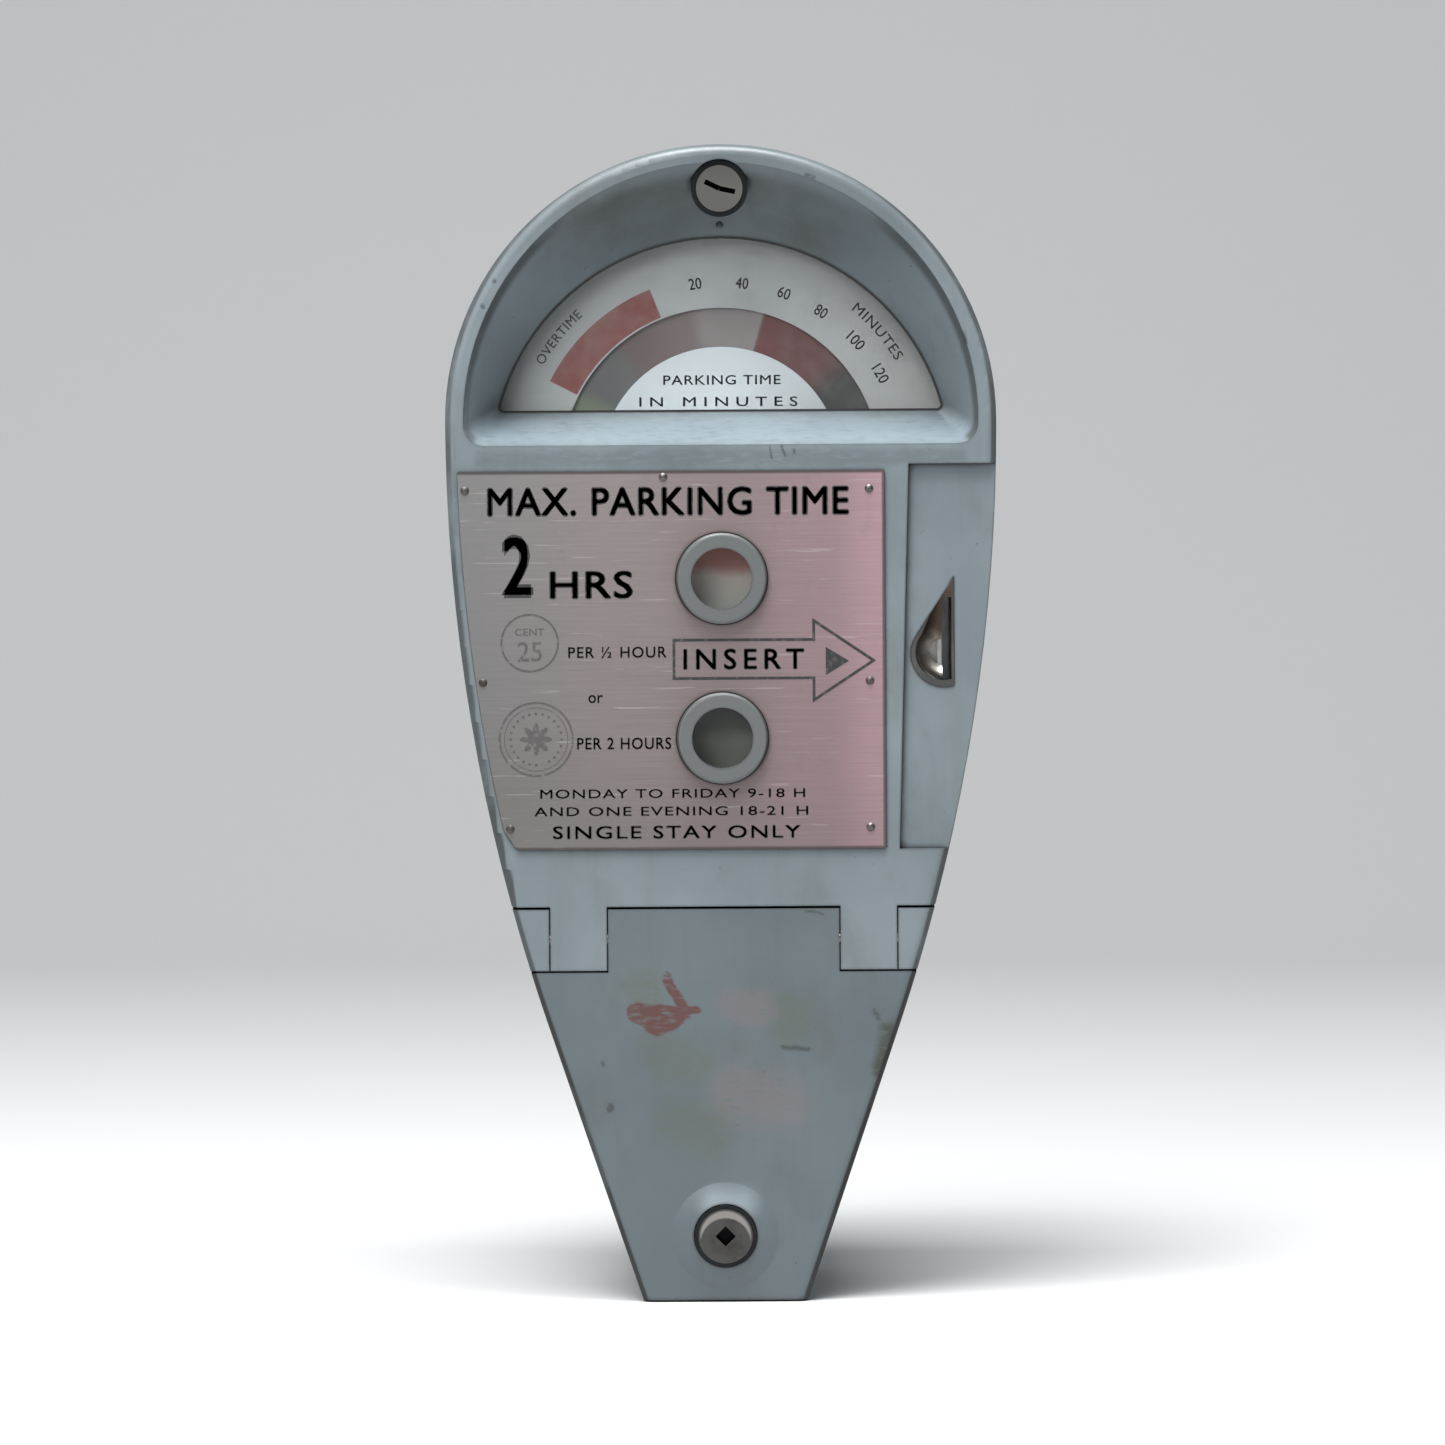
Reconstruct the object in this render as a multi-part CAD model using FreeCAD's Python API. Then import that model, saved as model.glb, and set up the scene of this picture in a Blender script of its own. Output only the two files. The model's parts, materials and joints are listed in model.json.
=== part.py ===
"""A clockwork parking meter head for a street post.

The head is a cast teardrop casing. A front cover with a hooded dial window, two coin windows, an
instruction plate and a coin entry swings forward on a pin at its foot, and a vault door below it hangs
from the same pin. Inside are the spring-driven movement with its dial, time disc and expired flag, the
coin wheel that carries each coin past the two windows, the coin chutes, the vault shelf and the coin box.
The foot, screwed on under the vault, is a round socket that slides over the top of a post and is held
by two set screws.

Frame: millimetres, +Z up, -Y towards the person who pays, +X to that person's right.
Origin: the centre of the post socket's mouth.
"""

import FreeCAD
import Part
import math
import os
from FreeCAD import Vector

# ---------------------------------------------------------------- casing
DOME_R = 90.5  # radius of the round top
DOME_Z = 290.0  # height of the dome's centre
FOOT_HALF = 27.0  # half the width of the foot
FLANK_ANGLE = math.radians(18.7)  # lean of the straight lower sides
Y_FRONT = -64.0
Y_BACK = 62.0
Y_SPLIT = -24.0  # where the front cover meets the rear housing
BACK_TAPER_Z = 160.0  # below this the back leans in
BACK_TAPER = 22.0  # how far it leans in at the foot
BACK_ARC_R = 400.0
WALL = 5.0
FACE_WALL = 6.0
EDGE_ROUND = 3.5
BACK_ROUND = 15.0
SEAM = 0.4  # gap between castings that part

# ---------------------------------------------------------------- hinge shared by cover and vault door
HINGE_Z = 119.5
HINGE_INSET = 4.0  # pin axis behind the front face
KNUCKLE_H = 10.1  # half the height of a knuckle
KNUCKLE_T = 8.5
PIN_R = 2.0
PIN_CLEAR = 0.06
TONGUE_HALF = 38.0  # half the width of the vault door's tongue
TAB_OUT = 57.0  # outer edge of the cover's two tabs
EAR_DEPTH = 18.0

# ---------------------------------------------------------------- dial window and its hood
DIAL_Z = 274.6  # centre of the dial, the time arbor's axis
GLASS_R = 76.4
GLASS_LOW_Z = 293.0
HOOD_R = 84.5
HOOD_LOW_Z = 282.0
HOOD_DEPTH = 26.0
HOOD_WALL = 3.5
WINDOW_CORNER = 2.0
HOOD_CORNER = 7.0  # the hood's lower corners at its mouth
GLASS_T = 3.0
GASKET_T = 1.5
GLASS_LAP = 3.0  # how far the glass runs under its flange
GASKET_LIP = 0.7
RETAINER_T = 1.5
SCREW_CLEAR = 0.08

# ---------------------------------------------------------------- rear window
REAR_GLASS_R = 62.0
REAR_GLASS_LOW_Z = 298.0
REAR_CORNER = 5.0

# ---------------------------------------------------------------- coin windows, plate and coin entry
COIN_WHEEL_Z = 212.0
COIN_PITCH = 26.2  # radius at which the coin wheel carries a coin, and the windows' distance from its axis
COIN_POCKET_R = 12.9
COIN_WHEEL_R = 42.0
COIN_WHEEL_T = 3.2
COIN_ARBOR_R = 3.0
WINDOW_BOSS_R = 15.0
WINDOW_HOLE_R = 10.0
WINDOW_BOSS_H = 4.0
LENS_R = 12.4
LENS_T = 2.5
PLATE_T = 1.0
PLATE_TOP = 273.4
PLATE_LOW = 149.3
PLATE_RIGHT = 53.5
PLATE_INSET = 3.8
CHANNEL_X = 59.0
CHANNEL_TOP = 275.5
CHANNEL_LOW = 149.0
CHANNEL_DEPTH = 2.5
ENTRY_X = 76.3  # right edge of the coin entry
ENTRY_LOBE_X = 73.0
ENTRY_LOBE_Z = 213.0
ENTRY_LOBE_R = 11.0
ENTRY_TOP = 238.5
ENTRY_MARGIN = 0.9
COIN_SLIT = 3.0
CHUTE_T = 1.5

# ---------------------------------------------------------------- locks
LOCK_BODY_R = 8.0
LOCK_PLUG_R = 6.2
LOCK_FACE_R = 7.6
LOCK_LIP = 1.3  # how far a lock's front ring stands out from its body
LOCK_WELL_R = LOCK_BODY_R + LOCK_LIP
UPPER_LOCK_Z = 366.0
LOWER_LOCK_Z = 22.0
LOWER_BOSS_R = 17.5
LOWER_BOSS_H = 3.0
LOWER_LIP = 2.2
LOWER_RING_R = LOCK_BODY_R + LOWER_LIP
CAM_T = 2.5
CAM_HALF = 4.0
TURN_CLEAR = 0.06

# ---------------------------------------------------------------- post socket and vault
POST_R = 21.5
SOCKET_DEPTH = 55.0
SOCKET_WALL = 5.2
SET_SCREW_R = 4.0
VAULT_FLOOR_T = 5.0
SHELF_Z = 132.5
SHELF_T = 3.0
BOX_T = 1.6

# ---------------------------------------------------------------- movement
FRONT_PLATE_Y = -18.0
REAR_PLATE_Y = 16.0
MOVE_PLATE_T = 2.0
PILLAR_R = 4.0
ARBOR_R = 2.0
PIVOT_CLEAR = 0.05
DIAL_Y = -28.0
DIAL_T = 1.0
RING_IN = 40.0  # the band in which the time disc shows
RING_OUT = 53.0
MODULE = 1.0
MESH_GAP = 0.15

# ---------------------------------------------------------------- small fits
RIM_W = 5.0  # width of a window's rim outside its glass
SMALL_SCREW_R = 1.2
RIVET_R = 0.8
RIVET_HEAD_R = 1.4
CLAMP_HALF = 17.0
DOOR_T = 8.0
DOOR_LOW = 0.6
LOCK_FACE_T = 2.0
LOCK_FLANGE_T = 1.5
LOCK_NUT_WALL = 2.4  # from the lock's body to the corners of its nut
LOCK_NUT_R = LOCK_BODY_R + LOCK_NUT_WALL
LOCK_NUT_T = 3.0
LOWER_FACE_R = 8.9
UPPER_LOCK_SINK = 3.0  # how far the upper lock's face lies behind the front
DIMPLE_DROP = 11.3  # the drain hole below the upper lock
Y_UPPER_BARREL = -30.4
Y_UPPER_CAM = -26.6
Y_LOWER_CAM = -40.0
UPPER_CAM_REACH = 9.0
LOWER_CAM_REACH = 16.0
Y_STRIKE_FOOT = -18.0
UPPER_STRIKE_Z = 355.8
STRIKE_CLEAR = 3.3  # from the lower strike's flange to the socket
LOWER_STRIKE_BACK = -(POST_R + SOCKET_WALL + STRIKE_CLEAR)
VAULT_FLOOR_Z = 57.0
LEDGE_IN = 56.0
PIN_HALF = 62.0
SET_SCREW_PLACES = (16.0, 38.0)
BOX_Y0 = -46.0
FOOT_SCREW_IN = 22.5  # the rear foot screws, in from the back
FOOT_SCREW_SETBACK = 7.0  # the front foot screws, behind the door
BOX_CLEAR = 4.5  # from the coin box to the rear foot screws
BOX_Y1 = Y_BACK - FOOT_SCREW_IN - BOX_CLEAR
BOX_SIDE_GAP = 1.5
DROP_HALF = 15.5
DROP_Y0 = -42.0
DROP_Y1 = -35.0
Y_COIN_WHEEL = -54.8
Y_DUCT = -56.0
SLIT_LOW = 204.5
SLIT_HIGH = 231.5
PLATE_BOTTOM = 142.0
PLATE_HALF = 66.0
TIME_TEETH = 60
BARREL_TEETH = 48
SECOND_PINION = 12
SECOND_TEETH = 48
THIRD_PINION = 10
ESCAPE_TEETH = 15
RATCHET_TEETH = 24
Y_GREAT = (-10.0, -7.5)  # where the time wheel and the barrel's teeth lie between the plates
Y_SECOND = (-3.0, -0.5)
Y_ESCAPE = (6.0, 8.0)
Y_BALANCE = (9.5, 12.0)
Y_RATCHET = (10.0, 12.0)
PALLET_REACH = 7.5  # from the pallet's pivot to its stones, just short of the escape wheel

os.makedirs("parts", exist_ok=True)
AXIS_Y = Vector(0, 1, 0)
HINGE_Y = Y_FRONT + HINGE_INSET
KNUCKLE_SWING = math.hypot(KNUCKLE_T - HINGE_INSET, KNUCKLE_H)
SWING_CLEAR = KNUCKLE_SWING + 0.25
FLANK_R = (DOME_R - FOOT_HALF - DOME_Z * math.tan(FLANK_ANGLE)) / (
    1 - math.cos(FLANK_ANGLE) - math.sin(FLANK_ANGLE) * math.tan(FLANK_ANGLE)
)
Y_GLASS = Y_FRONT + HOOD_DEPTH
WINDOW_PLACES = (COIN_WHEEL_Z + COIN_PITCH, COIN_WHEEL_Z - COIN_PITCH)


# ================================================================ helpers
def box(x0, x1, y0, y1, z0, z1):
    return Part.makeBox(x1 - x0, y1 - y0, z1 - z0, Vector(x0, y0, z0))


def rod(x, z, r, y0, y1):
    """A round bar along Y."""
    return Part.makeCylinder(r, y1 - y0, Vector(x, y0, z), AXIS_Y)


def ring(x, z, r_in, r_out, y0, y1):
    return rod(x, z, r_out, y0, y1).cut(rod(x, z, r_in, y0 - 1, y1 + 1))


def bar_x(y, z, r, x0, x1):
    """A round bar along X."""
    return Part.makeCylinder(r, x1 - x0, Vector(x0, y, z), Vector(1, 0, 0))


def join(shapes):
    whole = shapes[0]
    if len(shapes) > 1:
        whole = whole.multiFuse(shapes[1:])
    return whole.removeSplitter()


def cut(shape, tools):
    return shape.cut(Part.makeCompound(tools)) if tools else shape


def group(shapes):
    return Part.makeCompound(shapes)


def arc(a, b, c):
    return Part.Arc(a, b, c).toShape()


def line(a, b):
    return Part.LineSegment(a, b).toShape()


def extrude_y(wire, depth):
    return Part.Face(wire).extrude(Vector(0, depth, 0))


def polygon_y(points, y0, y1):
    """A prism along Y on a polygon of (x, z) points."""
    corners = [Vector(x, y0, z) for x, z in points]
    return extrude_y(Part.makePolygon(corners + corners[:1]), y1 - y0)


def polar(x, z, r, degrees, y=0.0):
    """A point at radius r, turned clockwise from straight up as seen from the front."""
    a = math.radians(degrees)
    return Vector(x + r * math.sin(a), y, z + r * math.cos(a))


def sector(x, z, r_in, r_out, a0, a1, y0, y1):
    mid = (a0 + a1) / 2
    edges = [
        arc(polar(x, z, r_out, a0, y0), polar(x, z, r_out, mid, y0), polar(x, z, r_out, a1, y0)),
        line(polar(x, z, r_out, a1, y0), polar(x, z, r_in, a1, y0)),
        arc(polar(x, z, r_in, a1, y0), polar(x, z, r_in, mid, y0), polar(x, z, r_in, a0, y0)),
        line(polar(x, z, r_in, a0, y0), polar(x, z, r_out, a0, y0)),
    ]
    return extrude_y(Part.Wire(edges), y1 - y0)


def half_width(z, inset=0.0):
    """Half the casing's width at height z, less an inset."""
    if z >= DOME_Z:
        return math.sqrt(max((DOME_R - inset) ** 2 - (z - DOME_Z) ** 2, 0.0))
    r = FLANK_R - inset
    straight_z = DOME_Z - r * math.sin(FLANK_ANGLE)
    if z >= straight_z:
        return DOME_R - FLANK_R + math.sqrt(r**2 - (DOME_Z - z) ** 2)
    return DOME_R - FLANK_R + r * math.cos(FLANK_ANGLE) - (straight_z - z) * math.tan(FLANK_ANGLE)


def head_prism(inset, y0, y1, low=0.0):
    """The teardrop outline, set in by inset, as a prism from y0 to y1 and down to height low."""
    r = FLANK_R - inset
    straight_z = DOME_Z - r * math.sin(FLANK_ANGLE)
    mid_z = DOME_Z - r * math.sin(FLANK_ANGLE / 2)
    d = DOME_R - inset
    s = d * math.sqrt(0.5)
    x_straight, x_mid, x_low = (half_width(z, inset) for z in (straight_z, mid_z, low))
    edges = [
        line(Vector(-x_low, y0, low), Vector(x_low, y0, low)),
        line(Vector(x_low, y0, low), Vector(x_straight, y0, straight_z)),
        arc(Vector(x_straight, y0, straight_z), Vector(x_mid, y0, mid_z), Vector(d, y0, DOME_Z)),
        arc(Vector(d, y0, DOME_Z), Vector(s, y0, DOME_Z + s), Vector(0, y0, DOME_Z + d)),
        arc(Vector(0, y0, DOME_Z + d), Vector(-s, y0, DOME_Z + s), Vector(-d, y0, DOME_Z)),
        arc(Vector(-d, y0, DOME_Z), Vector(-x_mid, y0, mid_z), Vector(-x_straight, y0, straight_z)),
        line(Vector(-x_straight, y0, straight_z), Vector(-x_low, y0, low)),
    ]
    return extrude_y(Part.Wire(edges), y1 - y0)


def arch_wire(y, radius, centre_z, low_z, corner):
    """A window outline: a round arch over a straight sill, with rounded lower corners."""
    fx = math.sqrt((radius - corner) ** 2 - (low_z + corner - centre_z) ** 2)
    fz = low_z + corner
    reach = math.hypot(fx, fz - centre_z)
    px, pz = fx * radius / reach, centre_z + (fz - centre_z) * radius / reach
    turn = math.atan2(pz - fz, px - fx)
    mid = (turn - math.pi / 2) / 2
    mx, mz = fx + corner * math.cos(mid), fz + corner * math.sin(mid)
    half = (math.atan2(pz - centre_z, px) + math.pi / 2) / 2
    hx, hz = radius * math.cos(half), centre_z + radius * math.sin(half)
    top = centre_z + radius
    return Part.Wire(
        [
            line(Vector(-fx, y, low_z), Vector(fx, y, low_z)),
            arc(Vector(fx, y, low_z), Vector(mx, y, mz), Vector(px, y, pz)),
            arc(Vector(px, y, pz), Vector(hx, y, hz), Vector(0, y, top)),
            arc(Vector(0, y, top), Vector(-hx, y, hz), Vector(-px, y, pz)),
            arc(Vector(-px, y, pz), Vector(-mx, y, mz), Vector(-fx, y, low_z)),
        ]
    )


def arch(grow, y0, y1, radius=GLASS_R, low_z=GLASS_LOW_Z, centre_z=DIAL_Z, corner=WINDOW_CORNER):
    """A window-shaped slab, its outline moved out by grow."""
    wire = arch_wire(y0, radius + grow, centre_z, low_z - grow, corner + max(grow, -2.0))
    return extrude_y(wire, y1 - y0)


def arch_points(grow, radius, low_z, angles):
    """Screw places round a window: on the arch at the angles, and two on the sill."""
    r = radius + grow
    places = [(r * math.sin(math.radians(a)), DIAL_Z + r * math.cos(math.radians(a))) for a in angles]
    sill_x = 0.5 * radius
    return places + [(-sill_x, low_z - grow), (sill_x, low_z - grow)]


def gear_teeth(x, z, teeth, y0, y1, bore, phase, module=MODULE):
    """A spur gear with straight-sided teeth and generous backlash. phase is where one tooth points."""
    pitch_r = module * teeth / 2
    tip, root = pitch_r + 0.85 * module, pitch_r - 1.15 * module
    step = 2 * math.pi / teeth
    tip_half, root_half = 0.085 * step, 0.29 * step * pitch_r / root * 0.92
    points = []
    for n in range(teeth):
        a = phase + n * step
        for r, t in ((root, -root_half), (tip, -tip_half), (tip, tip_half), (root, root_half)):
            points.append((x + r * math.sin(a + t), z + r * math.cos(a + t)))
    return polygon_y(points, y0, y1).cut(rod(x, z, bore, y0 - 1, y1 + 1))


def mesh_phase(a, b, teeth_a, teeth_b, phase_a):
    """The phase of gear b that puts one of its gaps on gear a's tooth. a and b are (x, z)."""
    toward = math.atan2(b[0] - a[0], b[1] - a[1])
    step_a = 2 * math.pi / teeth_a
    offset = (phase_a - toward + step_a / 2) % step_a - step_a / 2
    return toward + math.pi - offset * teeth_a / teeth_b + math.pi / teeth_b


def beside(a, distance, degrees):
    """The place at a distance from a, clockwise from straight up."""
    t = math.radians(degrees)
    return (a[0] + distance * math.sin(t), a[1] + distance * math.cos(t))


def round_edges(shape, r, wanted):
    """Rounds the edges that the test wanted picks."""
    edges = [e for e in shape.Edges if wanted(e)]
    return shape.makeFillet(r, edges) if edges else shape


def at_y(y):
    return lambda e: all(abs(v.Point.y - y) < 1e-6 for v in e.Vertexes)


def screw(x, z, head_y, tip_y, r=1.5, head_r=2.8, head_t=1.8):
    """A pan-head slotted screw along Y. The head lies from head_y towards the outside."""
    out = -1 if tip_y > head_y else 1
    lo, hi = sorted((head_y, head_y + out * head_t))
    head = rod(x, z, head_r, lo, hi)
    slot_lo, slot_hi = (lo - 1, lo + 0.45 * head_t) if out < 0 else (hi - 0.45 * head_t, hi + 1)
    head = head.cut(box(x - head_r - 1, x + head_r + 1, slot_lo, slot_hi, z - 0.45, z + 0.45))
    y0, y1 = sorted((head_y, tip_y))
    return join([head, rod(x, z, r, y0, y1)])


def small_screw(x, z, head_y, tip_y):
    return screw(x, z, head_y, tip_y, SMALL_SCREW_R, 2.2, 1.3)


def screw_hole(x, z, y0, y1, r=1.5):
    return rod(x, z, r + SCREW_CLEAR, y0, y1)


# ================================================================ places
RIVET_ROWS = (PLATE_TOP - 6.0, PLATE_TOP - 69.0, PLATE_LOW + 7.0)
RIVET_PLACES = [(-19.0, PLATE_TOP - 1.9)]
RIVET_PLACES += [(PLATE_RIGHT - 5.0, z) for z in RIVET_ROWS]
RIVET_PLACES += [(2.2 - half_width(z, PLATE_INSET), z) for z in RIVET_ROWS]
CLAMP_SCREWS = [(x, COIN_WHEEL_Z) for x in (-13.0, 13.0)]
ENTRY_SCREWS = [(ENTRY_X - 8, ENTRY_LOBE_Z - 19), (ENTRY_X - 11, ENTRY_LOBE_Z + 27)]
MOUNT_PLACES = [(-50.0, 168.0), (50.0, 168.0), (-60.0, DIAL_Z + 11), (60.0, DIAL_Z + 11)]
PILLARS = [(-44.0, 150.0), (44.0, 150.0), (-52.0, DIAL_Z + 31), (52.0, DIAL_Z + 31)]
DIAL_FEET = [(-61.0, DIAL_Z + 1), (61.0, DIAL_Z + 1), (-36.0, DIAL_Z + 46), (36.0, DIAL_Z + 46)]
COIN_POSTS = [(side * x, COIN_WHEEL_Z + dz) for x, dz in ((38.0, 3), (26.0, -30)) for side in (-1, 1)]
STRIKE_SCREWS = [(x, UPPER_STRIKE_Z + 12) for x in (-8.0, 8.0)]
FOOT_TOP = VAULT_FLOOR_Z + VAULT_FLOOR_T
FOOT_PAD_H = 10.0
FOOT_SCREW_DEPTHS = (Y_BACK - FOOT_SCREW_IN, Y_FRONT + DOOR_T + FOOT_SCREW_SETBACK)
FOOT_SCREWS = [(side * x, y) for x, y in zip((25.0, 37.0), FOOT_SCREW_DEPTHS) for side in (-1, 1)]
SHELF_SCREWS = [(x, y) for x in (-60.5, 60.5) for y in (-16.0, 36.0)]
Y_STRIKE_BLADE = Y_LOWER_CAM - 1.0  # the back of the lower strike's blade
Y_STRIKE_SCREWS = Y_STRIKE_BLADE + 6 / 11 * (LOWER_STRIKE_BACK - Y_STRIKE_BLADE)
LOWER_STRIKE_SCREWS = [(x, Y_STRIKE_SCREWS) for x in (-5.0, 5.0)]
TIME_ARBOR = (0.0, DIAL_Z)
BARREL_ARBOR = beside(TIME_ARBOR, MODULE * (TIME_TEETH + BARREL_TEETH) / 2 + MESH_GAP, 215)
SECOND_ARBOR = beside(TIME_ARBOR, MODULE * (TIME_TEETH + SECOND_PINION) / 2 + MESH_GAP, 130)
ESCAPE_ARBOR = beside(SECOND_ARBOR, MODULE * (SECOND_TEETH + THIRD_PINION) / 2 + MESH_GAP, 175)
PALLET_ARBOR = beside(ESCAPE_ARBOR, 25.0, 180)
BALANCE_ARBOR = beside(PALLET_ARBOR, 25.0, 180)
ARBORS = [TIME_ARBOR, BARREL_ARBOR, SECOND_ARBOR, ESCAPE_ARBOR, PALLET_ARBOR, BALANCE_ARBOR]

# ================================================================ casing blocks
def side_prism(y_front, y_back, low, high):
    """The side view of the head: an upright back that leans in towards the foot through a long arc."""
    lean = math.atan2(BACK_TAPER, BACK_TAPER_Z)
    reach = BACK_ARC_R * math.tan(lean / 2)
    y_low = y_back - (BACK_TAPER_Z - low) * math.tan(lean)
    start = Vector(-200, y_back - reach * math.sin(lean), BACK_TAPER_Z - reach * math.cos(lean))
    end = Vector(-200, y_back, BACK_TAPER_Z + reach)
    middle = Vector(
        -200,
        y_back - BACK_ARC_R * (1 - math.cos(lean / 2)),
        end.z - BACK_ARC_R * math.sin(lean / 2),
    )
    wire = Part.Wire(
        [
            line(Vector(-200, y_front, low), Vector(-200, y_low, low)),
            line(Vector(-200, y_low, low), start),
            arc(start, middle, end),
            line(end, Vector(-200, y_back, high)),
            line(Vector(-200, y_back, high), Vector(-200, y_front, high)),
            line(Vector(-200, y_front, high), Vector(-200, y_front, low)),
        ]
    )
    return Part.Face(wire).extrude(Vector(400, 0, 0))


def casing_block(inset, y_front, y_back, low, back_round, front_round):
    """The whole head, or the hollow inside it, before it is parted."""
    block = head_prism(inset, y_front, y_back, low).common(side_prism(y_front, y_back, low, 400))
    half_depth = (y_back - y_front) / 2

    def rear_edge(e):
        b = e.BoundBox
        return b.YMin > 0 and b.ZLength > 1 and b.YLength < half_depth

    if back_round:
        block = round_edges(block, back_round, rear_edge)
    if front_round:
        block = round_edges(block, front_round, lambda e: at_y(y_front)(e) and e.BoundBox.ZMax > low + 0.1)
    return block


HEAD = casing_block(0.0, Y_FRONT, Y_BACK, 0.0, BACK_ROUND, EDGE_ROUND)
HOLLOW = casing_block(WALL, Y_FRONT + FACE_WALL, Y_BACK - WALL, WALL, BACK_ROUND - WALL, 0)


def node(name, shape):
    shape.exportStep("parts/" + name + ".step")


# ================================================================ glazed windows
def glazing(name, outline, y_seat, way, angles, clear=()):
    """Glass in a window, held against the seat at y_seat. way is +1 when the glass lies behind the seat.

    The outline is the window's radius, the height of its sill and the radius of its corners. Returns the
    raised rim to fuse on the casting and the pocket to cut from it. The retainer is cut by clear.
    """
    radius, low_z, corner = outline

    def slab(grow, depth0, depth1):
        y0, y1 = sorted((y_seat + way * depth0, y_seat + way * depth1))
        return arch(grow, y0, y1, radius, low_z, DIAL_Z, corner)

    stack = GASKET_T + GLASS_T
    rim_grow = GLASS_LAP + RIM_W
    places = arch_points(GLASS_LAP + RIM_W / 2, radius, low_z, angles)
    holes = []
    screws = []
    for x, z in places:
        y0, y1 = sorted((y_seat + way * (stack - 3.5), y_seat + way * (stack + RETAINER_T + 1)))
        holes.append(rod(x, z, SMALL_SCREW_R, y0, y1))
        screws.append(small_screw(x, z, y_seat + way * (stack + RETAINER_T), y_seat + way * (stack - 3.5)))
    node(name + "_gasket", slab(GLASS_LAP, 0, GASKET_T).cut(slab(-GASKET_LIP, -1, GASKET_T + 1)))
    node(name + "_glass", slab(GLASS_LAP, GASKET_T, stack))
    opening = slab(0, stack - 1, stack + RETAINER_T + 1)
    retainer = slab(rim_grow, stack, stack + RETAINER_T)
    node(name + "_retainer", cut(retainer, [opening] + holes + list(clear)))
    node(name + "_screws", group(screws))
    return slab(rim_grow, 0, stack), [slab(GLASS_LAP + 0.3, 0, stack + 0.01)] + holes


# ================================================================ locks
def lock(name, z, y_face, y_nut, y_barrel, y_tail, face_r, ring_r):
    """A cylinder lock along Y: its barrel with a raised ring, and its nut.

    Returns the plug that turns in it.
    """
    y_step = y_face + LOCK_FACE_T
    bore = LOCK_PLUG_R + TURN_CLEAR
    body = join(
        [
            ring(0, z, face_r + TURN_CLEAR, ring_r, y_face + 0.5, y_step),
            ring(0, z, bore, ring_r, y_step, y_step + LOCK_FLANGE_T),
            ring(0, z, bore, LOCK_BODY_R, y_step, y_barrel),
        ]
    )
    node(name + "_body", body)
    flats = [polar(0, z, LOCK_NUT_R, 60 * n + 30) for n in range(6)]
    nut = polygon_y([(p.x, p.z) for p in flats], y_nut, y_nut + LOCK_NUT_T)
    node(name + "_nut", nut.cut(rod(0, z, LOCK_BODY_R, y_nut - 1, y_nut + LOCK_NUT_T + 1)))
    return join([rod(0, z, face_r, y_face, y_step - TURN_CLEAR), rod(0, z, LOCK_PLUG_R, y_face, y_tail)])


def lock_cam(name, z, y, reach):
    """The cam on the plug's tail. At rest it lies along X, clear of its strike."""
    hub = rod(0, z, LOCK_PLUG_R + 1.5, y, y + CAM_T)
    cam = join([hub, box(-reach, 0, y, y + CAM_T, z - CAM_HALF, z + CAM_HALF)])
    node(name + "_cam", cam.cut(rod(0, z, LOCK_PLUG_R, y - 1, y + CAM_T + 1)))


# ================================================================ front cover
Y_COVER_BACK = Y_SPLIT - SEAM / 2
Y_HOUSING_FRONT = Y_SPLIT + SEAM / 2
COVER_LOW = HINGE_Z + KNUCKLE_H + 0.8
DOOR_TOP = HINGE_Z - KNUCKLE_H - 0.6
Y_DOOR_BACK = Y_FRONT + DOOR_T
Y_LOWER_FRONT = Y_DOOR_BACK + SEAM
EAR_IN = TAB_OUT + SEAM


def knuckle(x0, x1, z0, z1, bore):
    """A hinge knuckle's block between x0 and x1, its rear corners inside the swing circle."""
    block = box(x0, x1, Y_FRONT, Y_FRONT + KNUCKLE_T, z0, z1)
    swing = bar_x(HINGE_Y, HINGE_Z, KNUCKLE_SWING, x0 - 1, x1 + 1)
    return block, swing, bar_x(HINGE_Y, HINGE_Z, bore, x0 - 1, x1 + 1)


def swing_cut(x_half):
    return bar_x(HINGE_Y, HINGE_Z, SWING_CLEAR, -x_half, x_half)


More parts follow.
